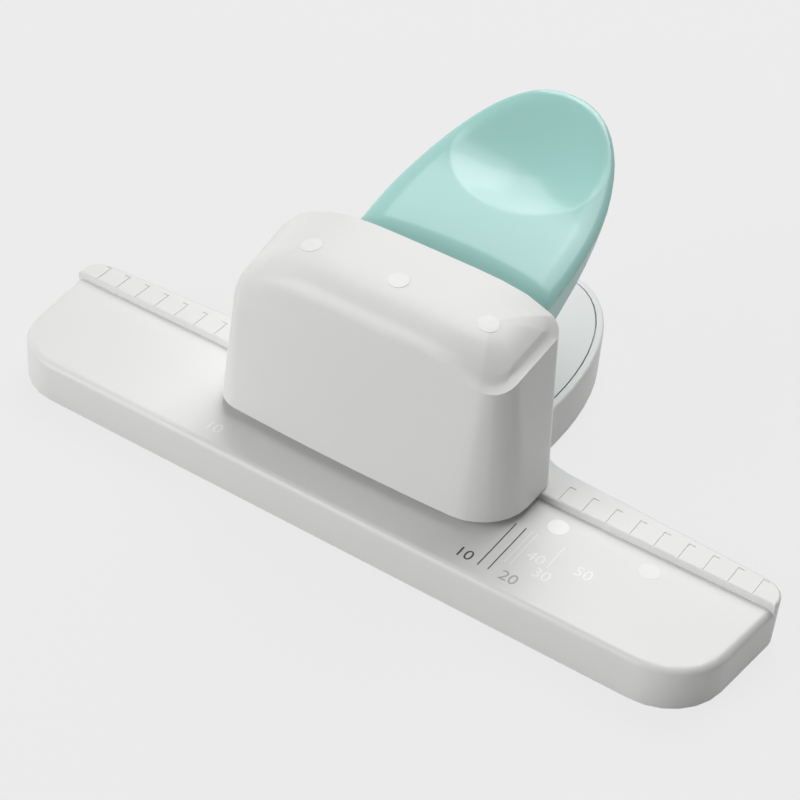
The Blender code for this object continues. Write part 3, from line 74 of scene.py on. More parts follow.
# Camera that took the photograph, aimed at a point on the desk
CAMERA_AZIMUTH = 0.53859
CAMERA_ELEVATION = 0.68998
CAMERA_ROLL = 0.08035
CAMERA_DISTANCE = 423.67 * MM
CAMERA_AIM = (-11.06 * MM, 22.31 * MM)
CAMERA_LENS = 94.5
CAMERA_SENSOR = 36.0
CAMERA_NEAR = 10.0 * MM

# Colours, as they look under plain light, except those noted as holding painted light or shade
WHITE = (0.79, 0.79, 0.78)
# Inlay: its own white, raised further as painted light that lifts the lever's shadow off the inlay's top
INLAY_WHITE_AND_PAINTED_LIGHT = (0.83, 0.832, 0.825)
MINT = (0.36, 0.665, 0.62)
SMOKE = (0.62, 0.64, 0.64)
PRINT_WHITE = (0.93, 0.93, 0.92)
PRINT_FAINT = (0.84, 0.84, 0.83)
# Dark and grey prints: white print darkened as painted shade, full and half, where the head's shadow
# falls on the bed
PRINT_PAINTED_SHADE = (0.07, 0.075, 0.08)
PRINT_HALF_PAINTED_SHADE = (0.42, 0.43, 0.44)
GROUND_STEEL = (0.62, 0.62, 0.63)
ZINC = (0.50, 0.51, 0.53)
WIRE_STEEL = (0.50, 0.50, 0.52)
RUBBER = (0.028, 0.028, 0.030)

# Surroundings: their tone where they are seen, and the light that they give
BACKDROP = 0.832
ROOM_LIGHT = 0.09
FLOOR_SIZE = 3.0
FLOOR_GREY = 0.5
FLOOR_ROUGHNESS = 0.9
FLOOR_GLOW = 0.88
FLOOR_PALE = 0.884
LIGHT_AIM_Z = 20.0 * MM

# Noise scales, per metre, and the stretch of each metal's tool lines along X, Y and Z
FLOW_SCALE = 38.0
RUBBED_SCALE = 170.0
CLOUD_SCALE = 240.0
TURNED_LINES = (900.0, 900.0, 6000.0)
GROUND_LINES = (6000.0, 900.0, 900.0)
FLAT_LINES = (500.0, 7000.0, 7000.0)
ROLLED_LINES = (260.0, 2600.0, 2600.0)
DRAWN_LINES = (3000.0, 3000.0, 900.0)

# Lever's top, from the pin line and the desk, as the solid has it
LEVER_HALF_WIDTH = 21.4 * MM
LEVER_FRONT = 7.0 * MM
LEVER_RIDGE_Y = 22.5 * MM
LEVER_RIDGE_Z = 43.9 * MM
LEVER_TIP_Y = 59.6 * MM
LEVER_ROUNDNESS = 2.25
LEVER_SLOPE = 0.30
LEVER_CURL_START = 34.0 * MM
LEVER_CURL_RISE = 4.0 * MM
NOSE_Z = 36.9 * MM
NOSE_RISE = 6.5 * MM
NOSE_SIDE_RISE = 1.1 * MM
SPOON_Y = 45.0 * MM
SPOON_HALF_WIDTH = 16.0 * MM
SPOON_HALF_LENGTH = 13.0 * MM
SPOON_DEPTH = 2.3 * MM
SPOON_POWER = 1.2

# Lever's finished skin: its rim, its ridge and what counts as its top
ROUND_IN = 1.3 * MM
ROUND_DOWN = 0.6 * MM
LIP_IN = 4.4 * MM
LIP_DOWN = 1.3 * MM
RIDGE_BLEND = 0.3 * MM
FOLD_Y = 21.3 * MM
FOLD_Z = 43.54 * MM
FOLD_SLOPE = 0.58
FOLD_SIDE_RISE = 0.56 * MM
TIP_LIFT = 0.78 * MM
SKIN_TOLERANCE = 0.1 * MM
RIM_WIDTH = 2.0 * MM
RIM_DEPTH = 1.75 * MM
RIM_TOLERANCE = 0.25 * MM
RIM_FADE = (9.0 * MM, 14.5 * MM)
SKIN_FRONT = 7.5 * MM
SKIN_UPWARD = 0.02
SKIN_EDGE = 0.8 * MM
SKIN_SLIVER = 1.0e-6 * MM * MM
SKIN_ROUNDS = 6
RIM_STEPS = 400

# Head's crown, from the pin line: the finished shoulder stands a little fuller than a round one
CROWN_Y = 0.8 * MM
CROWN_REACH = 11.1 * MM
CROWN_DROP = 11.5 * MM
CROWN_LOW = 37.2 * MM
CROWN_POWER = 3.0
CROWN_UPWARD = 0.05
CROWN_LEFT = (-32.0 * MM, -23.0 * MM)
CROWN_RIGHT = (28.0 * MM, 18.0 * MM)

# Ruler grooves of the finished base
TICK_FLOOR_Z = 10.7 * MM
TICK_FINISH_Z = 10.87 * MM
LEVEL = 0.01 * MM

# Return springs, and the form of the rubber feet as sizes and as shares of their radius
WIRE_RADIUS = 0.3 * MM
SPRING_CURLS = 4
CURL_STEPS = 24
FOOT_RIM = 0.35 * MM
FOOT_RIM_SHARE = 0.3
FOOT_SIDES = 40
DISH_EDGE = 0.62
DISH_FLOOR = 0.55
DISH_DEPTH = 0.2 * MM

# Printed marks on the bed and the head, from the middle pin
PRINT_THICKNESS = 0.02 * MM
CROWN_LIFT = 0.04 * MM
DOT_RINGS = 10
DOT_SIDES = 48
BED_DOTS = ((2, PRINT_WHITE), (3, PRINT_FAINT))
# Lines 1 and 2 lie in the head's shadow: their dark ink is painted shade on white print
GAUGE_LINES = (
    ("gauge_line_1", 31.4 * MM, -17.4 * MM, -3.9 * MM, PRINT_PAINTED_SHADE),
    ("gauge_line_2", 33.5 * MM, -17.2 * MM, -3.9 * MM, PRINT_PAINTED_SHADE),
    ("gauge_line_3", 34.9 * MM, -13.8 * MM, -3.9 * MM, PRINT_WHITE),
    ("gauge_line_4", 36.0 * MM, -13.8 * MM, -3.9 * MM, PRINT_WHITE),
    ("gauge_line_5", 41.7 * MM, -10.5 * MM, -3.9 * MM, PRINT_WHITE),
)
GAUGE_LINE_WIDTH = 0.22 * MM
GAUGE_LINE_PARTS = 8
# Numbers 1 and 2 lie in the head's shadow and its edge: their dark and grey inks are painted shade on
# white print
GAUGE_NUMBERS = (
    ("gauge_number_1", "10", 28.0 * MM, -17.5 * MM, PRINT_PAINTED_SHADE),
    ("gauge_number_2", "20", 37.6 * MM, -18.0 * MM, PRINT_HALF_PAINTED_SHADE),
    ("gauge_number_3", "30", 41.9 * MM, -13.8 * MM, PRINT_WHITE),
    ("gauge_number_4", "40", 38.9 * MM, -10.7 * MM, PRINT_WHITE),
    ("gauge_number_5", "50", 47.8 * MM, -9.0 * MM, PRINT_WHITE),
    ("gauge_number_0", "10", -28.6 * MM, -17.4 * MM, PRINT_WHITE),
)
NUMBER_SIZE = 3.6 * MM


def place(tree, kind, inputs=None, **settings):
    """Add a shader node, say what it does, and feed its inputs with values or other nodes' outputs."""
    made = tree.nodes.new(kind)
    for name, value in settings.items():
        setattr(made, name, value)
    for key, value in (inputs or {}).items():
        if isinstance(value, bpy.types.NodeSocket):
            tree.links.new(value, made.inputs[key])
        else:
            made.inputs[key].default_value = value
    return made


def maths(tree, operation, first, second=0.0):
    """Output of one Math node."""
    return place(tree, "ShaderNodeMath", {0: first, 1: second}, operation=operation).outputs[0]


def swing(tree, value, amount):
    """Change round zero from a noise value, as wide as the amount."""
    return maths(tree, "MULTIPLY", maths(tree, "SUBTRACT", value, 0.5), amount)


def new_group(name, inputs, outputs):
    """An empty node group with named sockets: the group, its start and its end."""
    group = bpy.data.node_groups.new(name, "ShaderNodeTree")
    for label, kind, value in inputs:
        socket = group.interface.new_socket(label, in_out="INPUT", socket_type=kind)
        if value is not None:
            socket.default_value = value
    for label, kind in outputs:
        group.interface.new_socket(label, in_out="OUTPUT", socket_type=kind)
    return group, group.nodes.new("NodeGroupInput"), group.nodes.new("NodeGroupOutput")


def moulded_grain_group():
    """Fine skin of moulded plastic: height, gloss change and a slight drift of tone."""
    group, start, end = new_group(
        "moulded_grain",
        [("Vector", "NodeSocketVector", None), ("Grain Size", "NodeSocketFloat", 0.25),
         ("Tone Drift", "NodeSocketFloat", 0.02), ("Gloss Drift", "NodeSocketFloat", 0.05)],
        [("Height", "NodeSocketFloat"), ("Tone", "NodeSocketFloat"), ("Gloss", "NodeSocketFloat")])
    grains_per_metre = maths(group, "DIVIDE", 1.0 / MM, start.outputs["Grain Size"])
    fine = place(group, "ShaderNodeTexNoise", {
        "Vector": start.outputs["Vector"], "Scale": grains_per_metre, "Detail": 3.0, "Roughness": 0.6})
    flow = place(group, "ShaderNodeTexNoise", {
        "Vector": start.outputs["Vector"], "Scale": FLOW_SCALE, "Detail": 2.0, "Roughness": 0.5})
    rubbed = place(group, "ShaderNodeTexNoise", {
        "Vector": start.outputs["Vector"], "Scale": RUBBED_SCALE, "Detail": 5.0, "Roughness": 0.65})
    group.links.new(fine.outputs["Fac"], end.inputs["Height"])
    drift = swing(group, flow.outputs["Fac"], start.outputs["Tone Drift"])
    group.links.new(maths(group, "ADD", drift, 1.0), end.inputs["Tone"])
    change = swing(group, rubbed.outputs["Fac"], start.outputs["Gloss Drift"])
    group.links.new(change, end.inputs["Gloss"])
    return group


def tool_lines_group():
    """Lines left by grinding, drawing or rolling along one axis: height, tone and gloss change."""
    group, start, end = new_group(
        "tool_lines",
        [("Vector", "NodeSocketVector", None), ("Stretch", "NodeSocketVector", (1.0, 1.0, 1.0)),
         ("Tone Drift", "NodeSocketFloat", 0.1), ("Gloss Drift", "NodeSocketFloat", 0.15)],
        [("Height", "NodeSocketFloat"), ("Tone", "NodeSocketFloat"), ("Gloss", "NodeSocketFloat")])
    along = place(group, "ShaderNodeVectorMath", {
        0: start.outputs["Vector"], 1: start.outputs["Stretch"]}, operation="MULTIPLY")
    lines = place(group, "ShaderNodeTexNoise", {
        "Vector": along.outputs["Vector"], "Scale": 1.0, "Detail": 4.0, "Roughness": 0.7})
    clouds = place(group, "ShaderNodeTexNoise", {
        "Vector": start.outputs["Vector"], "Scale": CLOUD_SCALE, "Detail": 4.0, "Roughness": 0.6})
    group.links.new(lines.outputs["Fac"], end.inputs["Height"])
    drift = swing(group, clouds.outputs["Fac"], start.outputs["Tone Drift"])
    group.links.new(maths(group, "ADD", drift, 1.0), end.inputs["Tone"])
    change = swing(group, lines.outputs["Fac"], start.outputs["Gloss Drift"])
    group.links.new(change, end.inputs["Gloss"])
    return group


MOULDED_GRAIN = moulded_grain_group()
TOOL_LINES = tool_lines_group()


def finish_material(name, colour, group, values, roughness, strength, depth, settings=None):
    """Principled material whose colour, roughness and bump take their change from a detail group."""
    made = bpy.data.materials.new(name)
    made.use_nodes = True
    tree = made.node_tree
    shader = tree.nodes["Principled BSDF"]
    for key, value in (settings or {}).items():
        shader.inputs[key].default_value = value
    where = place(tree, "ShaderNodeTexCoord").outputs["Object"]
    skin = place(tree, "ShaderNodeGroup", node_tree=group)
    tree.links.new(where, skin.inputs["Vector"])
    for key, value in values.items():
        skin.inputs[key].default_value = value
    toned = place(tree, "ShaderNodeVectorMath", {
        0: colour, 1: skin.outputs["Tone"]}, operation="MULTIPLY")
    tree.links.new(toned.outputs["Vector"], shader.inputs["Base Color"])
    tree.links.new(maths(tree, "ADD", skin.outputs["Gloss"], roughness), shader.inputs["Roughness"])
    bump = place(tree, "ShaderNodeBump", {
        "Strength": strength, "Distance": depth, "Height": skin.outputs["Height"]})
    tree.links.new(bump.outputs["Normal"], shader.inputs["Normal"])
    return made


def white_moulding():
    """Satin white of the base and the head."""
    return finish_material(
        "white_moulding", WHITE, MOULDED_GRAIN,
        {"Grain Size": 0.35, "Tone Drift": 0.015, "Gloss Drift": 0.08},
        roughness=0.36, strength=0.12, depth=0.02 * MM, settings={"IOR": 1.48})


def inlay_matt():
    """Finely grained white of the inlay, made lighter than its own white as painted light that lifts the
    lever's shadow off its top.
    """
    return finish_material(
        "inlay_matt", INLAY_WHITE_AND_PAINTED_LIGHT, MOULDED_GRAIN,
        {"Grain Size": 0.28, "Tone Drift": 0.02, "Gloss Drift": 0.1},
        roughness=0.5, strength=0.25, depth=0.03 * MM)


def mint_gloss():
    """Glossy mint of the lever."""
    return finish_material(
        "mint_gloss", MINT, MOULDED_GRAIN,
        {"Grain Size": 1.6, "Tone Drift": 0.03, "Gloss Drift": 0.05},
        roughness=0.24, strength=0.05, depth=0.03 * MM,
        settings={"Coat Weight": 0.45, "Coat Roughness": 0.1, "IOR": 1.5})


def smoke_moulding():
    """Frosted grey of the chip cover."""
    return finish_material(
        "smoke_moulding", SMOKE, MOULDED_GRAIN,
        {"Grain Size": 0.4, "Tone Drift": 0.04, "Gloss Drift": 0.12},
        roughness=0.42, strength=0.2, depth=0.03 * MM,
        settings={"Transmission Weight": 0.12, "IOR": 1.49})


def ground_steel(name, stretch):
    """Ground and polished steel with its lines across one axis."""
    return finish_material(
        name, GROUND_STEEL, TOOL_LINES,
        {"Stretch": stretch, "Tone Drift": 0.08, "Gloss Drift": 0.2},
        roughness=0.24, strength=0.2, depth=0.01 * MM, settings={"Metallic": 1.0})


def zinc_plate():
    """Zinc-plated sheet with a cloudy bloom."""
    return finish_material(
        "zinc_plate", ZINC, TOOL_LINES,
        {"Stretch": ROLLED_LINES, "Tone Drift": 0.3, "Gloss Drift": 0.2},
        roughness=0.36, strength=0.2, depth=0.01 * MM, settings={"Metallic": 1.0})


def wire_steel():
    """Drawn spring wire."""
    return finish_material(
        "wire_steel", WIRE_STEEL, TOOL_LINES,
        {"Stretch": DRAWN_LINES, "Tone Drift": 0.15, "Gloss Drift": 0.2},
        roughness=0.3, strength=0.2, depth=0.01 * MM, settings={"Metallic": 1.0})


def foot_rubber():
    """Matt black rubber."""
    return finish_material(
        "foot_rubber", RUBBER, MOULDED_GRAIN,
        {"Grain Size": 0.2, "Tone Drift": 0.3, "Gloss Drift": 0.15},
        roughness=0.78, strength=0.5, depth=0.05 * MM)


def print_ink(name, colour):
    """Pad-printed ink with a slightly uneven coat; the dark and grey coats are white print with painted
    shade.
    """
    return finish_material(
        name, colour, MOULDED_GRAIN,
        {"Grain Size": 0.12, "Tone Drift": 0.06, "Gloss Drift": 0.15},
        roughness=0.34, strength=0.15, depth=0.01 * MM)


def new_piece(name, shape, body, material, sharp_degrees=None):
    """Make a finished piece from a bmesh, riding on a body."""
    mesh = bpy.data.meshes.new(name)
    shape.to_mesh(mesh)
    shape.free()
    return mesh_piece(name, mesh, body, material, sharp_degrees)


def mesh_piece(name, mesh, body, material, sharp_degrees=None):
    """Link a mesh as a finished piece, riding on a body."""
    mesh.materials.clear()
    mesh.materials.append(material)
    if "custom_normal" in mesh.attributes:
        mesh.attributes.remove(mesh.attributes["custom_normal"])
    if sharp_degrees is not None:
        mesh.shade_smooth()
        mesh.set_sharp_from_angle(angle=math.radians(sharp_degrees))
    piece = bpy.data.objects.new(name, mesh)
    bpy.context.scene.collection.objects.link(piece)
    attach(piece, body)
    return piece


def merged_copy(node):
    """Copy of a CAD node's triangles, joined at their corners."""
    shape = bmesh.new()
    shape.from_mesh(NODES[node].data)
    bmesh.ops.remove_doubles(shape, verts=shape.verts, dist=MERGE)
    return shape


def even_normals(piece):
    """Let large faces lead the shading, so that flats stay flat beside their rounded edges."""
    weighted = piece.modifiers.new("even_normals", "WEIGHTED_NORMAL")
    weighted.mode = "FACE_AREA"
    weighted.weight = 50
    weighted.keep_sharp = True


def smooth_copy(node, body, material, sharp_degrees=SHARP, reshape=None):
    """Finished copy of a CAD node with its arcs shaded smooth."""
    shape = merged_copy(node)
    if reshape:
        reshape(shape)
    piece = new_piece(node + "_finished", shape, body, material, sharp_degrees)
    even_normals(piece)
    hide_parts(node)
    return piece


def shallow_ticks(shape):
    """Raise the floors of the ruler's grooves, which look faint on the real strip."""
    for vertex in shape.verts:
        if abs(vertex.co.z - TICK_FLOOR_Z) < LEVEL:
            vertex.co.z = TICK_FINISH_Z


def ramp(value, start, end):
    """Smooth change from 0 at the start to 1 at the end."""
    share = min(max((value - start) / (end - start), 0.0), 1.0)
    return share * share * (3.0 - 2.0 * share)


def crown_drop(share, power):
    """Drop of a rounded shoulder at a share of its reach; a power of 2 is a quarter round."""
    return 1.0 - max(1.0 - share ** power, 0.0) ** (1.0 / power)


def fuller_crown(shape):
    """Let the head's front shoulder stand fuller than a quarter round."""
    shape.normal_update()
    for vertex in shape.verts:
        share = (CROWN_Y - (vertex.co.y - PIN_LINE_Y)) / CROWN_REACH
        if vertex.co.z < CROWN_LOW or not 0.0 < share < 1.0 or vertex.normal.z < CROWN_UPWARD:
            continue
        more = crown_drop(share, 2.0) - crown_drop(share, CROWN_POWER)
        window = ramp(vertex.co.x, *CROWN_LEFT) * ramp(vertex.co.x, *CROWN_RIGHT)
        vertex.co.z += more * window * CROWN_DROP


def closed_print(shape, drop_to=None):
    """Lay a flat bmesh on a surface, or at the bed's height, and give it the ink's thickness."""
    for vertex in shape.verts:
        vertex.co.z = drop_to(vertex.co) + CROWN_LIFT if drop_to else BED_TOP
    bmesh.ops.recalc_face_normals(shape, faces=shape.faces)
    faces = list(shape.faces)
    if faces[0].normal.z < 0.0:
        bmesh.ops.reverse_faces(shape, faces=faces)
    grown = bmesh.ops.extrude_face_region(shape, geom=faces, use_keep_orig=True)
    raised = [item for item in grown["geom"] if isinstance(item, bmesh.types.BMVert)]
    bmesh.ops.translate(shape, vec=(0.0, 0.0, PRINT_THICKNESS), verts=raised)
    bmesh.ops.recalc_face_normals(shape, faces=shape.faces)
    return shape


def spun_shape(profile, x, y, sides):
    """Bmesh of a profile of (out, height) points, spun once round an upright line."""
    shape = bmesh.new()
    line = [shape.verts.new((x + out, y, height)) for out, height in profile]
    for first, second in zip(line, line[1:]):
        shape.edges.new((first, second))
    bmesh.ops.spin(
        shape, geom=shape.verts[:] + shape.edges[:], cent=(x, y, 0.0), axis=(0.0, 0.0, 1.0),
        angle=2.0 * math.pi, steps=sides, use_merge=True)
    bmesh.ops.remove_doubles(shape, verts=shape.verts, dist=SEAM)
    return shape


def dot_shape(x):
    """Flat disc of several rings on the pin line, so that it can follow a crowned surface."""
    spoke = [(HOLE_RADIUS * step / DOT_RINGS, 0.0) for step in range(DOT_RINGS + 1)]
    return spun_shape(spoke, x, PIN_LINE_Y, DOT_SIDES)


def surface_below(mesh):
    """Function that gives a mesh's top height at a place."""
    points = [vertex.co for vertex in mesh.vertices]
    tree = BVHTree.FromPolygons(points, [face.vertices for face in mesh.polygons])

    def height(spot):
        hit = tree.ray_cast(Vector((spot.x, spot.y, 1.0)), Vector((0.0, 0.0, -1.0)))
        return hit[0].z
    return height


def make_dots(inks, head):
    """White hole dots on the head over each pin and on the bed at the next places."""
    crown = surface_below(head.data)
    for word, side in (("left", -1), ("middle", 0), ("right", 1)):
        shape = closed_print(dot_shape(side * HOLE_PITCH), crown)
        new_piece("head_dot_" + word, shape, "base", inks[PRINT_FAINT])
    for number, colour in BED_DOTS:
        shape = closed_print(dot_shape(number * HOLE_PITCH))
        new_piece("bed_dot_" + str(number), shape, "base", inks[colour])


def make_gauge_lines(inks):
    """Thin printed lines that show where to lay each size of page."""
    for name, x, front, back, colour in GAUGE_LINES:
        shape = bmesh.new()
        middle = Matrix.Translation((x, PIN_LINE_Y + (front + back) / 2.0, 0.0))
        size = Matrix.Diagonal((GAUGE_LINE_WIDTH, back - front, 1.0, 1.0))
        bmesh.ops.create_grid(
            shape, x_segments=1, y_segments=GAUGE_LINE_PARTS, size=0.5, matrix=middle @ size)
        new_piece(name, closed_print(shape), "base", inks[colour])


def make_gauge_numbers(inks):
    """Plain numbers beside the gauge lines."""
    for name, digit, x, y, colour in GAUGE_NUMBERS:
        words = bpy.data.curves.new(name, "FONT")
        words.body = digit
        words.size = NUMBER_SIZE
        words.align_x = "CENTER"
        words.extrude = PRINT_THICKNESS / 2.0
        words.resolution_u = 4
        guide = bpy.data.objects.new(name + "_guide", words)
        bpy.context.scene.collection.objects.link(guide)
        graph = bpy.context.evaluated_depsgraph_get()
        mesh = bpy.data.meshes.new_from_object(guide.evaluated_get(graph))
        bpy.data.objects.remove(guide)
        mesh.transform(Matrix.Translation((x, PIN_LINE_Y + y, BED_TOP + PRINT_THICKNESS / 2.0)))
        mesh_piece(name, mesh, "base", inks[colour])


def spring_line(low, high):
    """Points of one spring inside its box: a straight tail at each end of the coil."""
    centre = (low + high) / 2.0
    radius = (high.x - low.x) / 2.0 - WIRE_RADIUS
    bottom = low.z + 2.0 * WIRE_RADIUS
    top = high.z - 2.0 * WIRE_RADIUS
    count = SPRING_CURLS * CURL_STEPS
    points = []
    for step in range(count + 1):
        angle = 2.0 * math.pi * step / CURL_STEPS
        x = centre.x + radius * math.cos(angle)
        y = PIN_LINE_Y + radius * math.sin(angle)
        points.append((x, y, bottom + (top - bottom) * step / count))
    points.insert(0, (*points[0][:2], low.z))
    points.append((*points[-1][:2], high.z))
    return points


def wire_shape(points):
    """Closed bmesh of round wire along a line of points."""
    curve = bpy.data.curves.new("spring_line", "CURVE")
    curve.dimensions = "3D"
    curve.bevel_depth = WIRE_RADIUS
    curve.bevel_resolution = 3
    curve.use_fill_caps = True
    line = curve.splines.new("POLY")
    line.points.add(len(points) - 1)
    for spot, point in zip(line.points, points):
        spot.co = (*point, 1.0)
    guide = bpy.data.objects.new("spring_guide", curve)
    bpy.context.scene.collection.objects.link(guide)
    graph = bpy.context.evaluated_depsgraph_get()
    shape = bmesh.new()
    shape.from_mesh(bpy.data.meshes.new_from_object(guide.evaluated_get(graph)))
    bpy.data.objects.remove(guide)
    bmesh.ops.remove_doubles(shape, verts=shape.verts, dist=SEAM)
    bmesh.ops.recalc_face_normals(shape, faces=shape.faces)
    return shape


def make_springs(material):
    """Return springs as smooth wire."""
    for word in ("left", "middle", "right"):
        low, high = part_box("pin_spring_" + word)
        shape = wire_shape(spring_line(low, high))
        spring = new_piece("return_spring_" + word, shape, "base", material, SPRING_SHARP)
        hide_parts("pin_spring_" + word)
        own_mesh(spring)


def make_feet(material):
    """Turned rubber feet with a rounded rim and a shallow dish."""
    for node in sorted(name for name in NODES if name.startswith("foot_")):
        low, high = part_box(node)
        centre = (low + high) / 2.0
        radius = (high.x - low.x) / 2.0
        soft = FOOT_RIM * FOOT_RIM_SHARE
        profile = [
            (0.0, high.z), (radius - FOOT_RIM, high.z), (radius, high.z - FOOT_RIM),
            (radius, low.z + FOOT_RIM), (radius - soft, low.z + soft), (radius - FOOT_RIM, low.z),
            (radius * DISH_EDGE, low.z), (radius * DISH_FLOOR, low.z + DISH_DEPTH),
            (0.0, low.z + DISH_DEPTH)]
        shape = spun_shape(profile, centre.x, centre.y, FOOT_SIDES)
        bmesh.ops.recalc_face_normals(shape, faces=shape.faces)
        piece = new_piece("rubber_" + node, shape, "base", material, FOOT_SHARP)
        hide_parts(node)


def tip_share(y):
    """Share of the way along the lever's curled tip."""
    return max(y - LEVER_CURL_START, 0.0) / (LEVER_TIP_Y - LEVER_CURL_START)


def rise_top(y):
    """Height of the lever's top behind the ridge."""
    straight = LEVER_RIDGE_Z + LEVER_SLOPE * (y - LEVER_RIDGE_Y)
    return straight + LEVER_CURL_RISE * tip_share(y) ** 2


def nose_top(x, y):
    """Height of the hollow nose in front of the ridge."""
    share = max(y - LEVER_FRONT, 0.0) / (LEVER_RIDGE_Y - LEVER_FRONT)
    return NOSE_Z + NOSE_RISE * share ** 2 + NOSE_SIDE_RISE * (x / LEVER_HALF_WIDTH) ** 2


def spoon_depth(x, y):
    """Depth of the thumb hollow."""
    inside = 1.0 - (x / SPOON_HALF_WIDTH) ** 2 - ((y - SPOON_Y) / SPOON_HALF_LENGTH) ** 2
    return SPOON_DEPTH * max(inside, 0.0) ** SPOON_POWER


def lever_top(x, y):
    """Height of the finished lever's top: its ridge stands further forward and is softly blended."""
    rise = rise_top(y)
    fold = FOLD_Z - FOLD_SLOPE * (FOLD_Y - y) + FOLD_SIDE_RISE * (x / LEVER_HALF_WIDTH) ** 2
    nose = max(nose_top(x, y), fold)
    near = max(RIDGE_BLEND - abs(rise - nose), 0.0)
    ridged = min(rise, nose) - near * near / (4.0 * RIDGE_BLEND)
    return ridged - spoon_depth(x, y) + TIP_LIFT * tip_share(y) ** 2


def lever_rim():
    """Search tree of close points on the lever's outline: both sides and the tip."""
    length = LEVER_TIP_Y - LEVER_RIDGE_Y
    points = []
    for step in range(RIM_STEPS + 1):
        share = step / RIM_STEPS
        angle = math.pi / 2.0 * share
        across = math.cos(angle) ** (2.0 / LEVER_ROUNDNESS)
        along = math.sin(angle) ** (2.0 / LEVER_ROUNDNESS)
        points.append((LEVER_HALF_WIDTH * across, LEVER_RIDGE_Y + length * along))
        points.append((LEVER_HALF_WIDTH, LEVER_FRONT + (LEVER_RIDGE_Y - LEVER_FRONT) * share))
    tree = KDTree(2 * len(points))
    for number, (x, y) in enumerate(points):
        tree.insert((x, y, 0.0), 2 * number)
        tree.insert((-x, y, 0.0), 2 * number + 1)
    tree.balance()
    return tree


def rim_drop(distance):
    """Drop of the lever's edge at a distance from its outline: a wide lip and a tight round."""
    lip = 1.0 - min(distance / LIP_IN, 1.0)
    edge = 1.0 - min(distance / ROUND_IN, 1.0)
    return LIP_DOWN * lip * lip + ROUND_DOWN * (1.0 - math.sqrt(max(1.0 - edge * edge, 0.0)))


def mark_skin(shape, layer, rim):
    """Mark the faces of the lever's top, from just behind its front edge to the tip."""
    def on_skin(vertex):
        x, y = vertex.co.x, vertex.co.y - PIN_LINE_Y
        if y < SKIN_FRONT or abs(x) > LEVER_HALF_WIDTH + SKIN_TOLERANCE:
            return False
        below = min(rise_top(y), nose_top(x, y)) - spoon_depth(x, y) - vertex.co.z
        if rim.find((x, y, 0.0))[2] < RIM_WIDTH:
            return -RIM_TOLERANCE < below < RIM_DEPTH
        return abs(below) < SKIN_TOLERANCE

    shape.normal_update()
    marked = {vertex for vertex in shape.verts if on_skin(vertex)}
    for face in shape.faces:
        upward = face.normal.z > SKIN_UPWARD
        face[layer] = int(upward and all(vertex in marked for vertex in face.verts))


def refine_skin(shape, layer):
    """Split the marked faces until their edges are short, but leave slivers whole."""
    for _ in range(SKIN_ROUNDS):
        long_edges = [
            edge for edge in shape.edges
            if edge.calc_length() > SKIN_EDGE and any(face[layer] for face in edge.link_faces)
            and all(face.calc_area() > SKIN_SLIVER for face in edge.link_faces)]
        if not long_edges:
            break
        bmesh.ops.subdivide_edges(shape, edges=long_edges, cuts=1)
        wide = [face for face in shape.faces if len(face.verts) > 3]
        bmesh.ops.triangulate(shape, faces=wide)
        skin = [face for face in shape.faces if face[layer]]
        inner = [
            edge for edge in shape.edges
            if len(edge.link_faces) and all(face[layer] for face in edge.link_faces)]
        bmesh.ops.beautify_fill(shape, faces=skin, edges=inner)


def make_lever_skin(material):
    """Lever with a fine, softly rounded top in place of the faceted one."""
    shape = merged_copy("lever")
    layer = shape.faces.layers.int.new("skin")
    rim = lever_rim()
    mark_skin(shape, layer, rim)
    refine_skin(shape, layer)
    for vertex in shape.verts:
        if any(face[layer] for face in vertex.link_faces):
            x, y = vertex.co.x, vertex.co.y - PIN_LINE_Y
            away = rim.find((x, y, 0.0))[2]
            vertex.co.z = lever_top(x, y) - ramp(y, *RIM_FADE) * rim_drop(away)
    piece = new_piece("lever_shell", shape, "lever", material, LEVER_SHARP)
    even_normals(piece)
    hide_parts("lever")


def dress_cad_nodes():
    """Give every CAD node that shows its finish, and hand back the finished head."""
    white = white_moulding()
    turned = ground_steel("turned_steel", TURNED_LINES)
    ground = ground_steel("ground_steel", GROUND_LINES)
    flat_ground = ground_steel("flat_ground_steel", FLAT_LINES)
    zinc = zinc_plate()
    wire = wire_steel()
    inlay = inlay_matt()
    smoke = smoke_moulding()
    smooth_copy("base_body", "base", white, reshape=shallow_ticks)
    head = smooth_copy("head_cover", "base", white, HEAD_SHARP, fuller_crown)
    smooth_copy("tongue_inlay", "base", inlay)
    smooth_copy("chip_cover", "chip_cover", smoke)
    smooth_copy("punch_frame", "base", zinc)
    smooth_copy("die_plate", "base", flat_ground)
    smooth_copy("press_rod", "lever", ground)
    smooth_copy("lever_shaft", "base", ground)
    for word in ("left", "right"):
        smooth_copy("frame_screw_" + word, "base", turned)
        smooth_copy("head_screw_" + word, "base", turned)
        smooth_copy("cover_hinge_pin_" + word, "base", ground)
        smooth_copy("shaft_clip_" + word, "base", wire)
    for word in ("left", "middle", "right"):
        smooth_copy("punch_pin_" + word, "pin_" + word, turned)
        smooth_copy("pin_ring_" + word, "pin_" + word, wire)
    make_lever_skin(mint_gloss())
    make_springs(wire)
    make_feet(foot_rubber())
    return head


def seen_directly(tree):
    """1 for rays from the camera and for reflections and refractions of it."""
    path = place(tree, "ShaderNodeLightPath")
    mirrored = maths(tree, "MAXIMUM", path.outputs["Is Glossy Ray"], path.outputs["Is Transmission Ray"])
    return maths(tree, "MAXIMUM", path.outputs["Is Camera Ray"], mirrored)


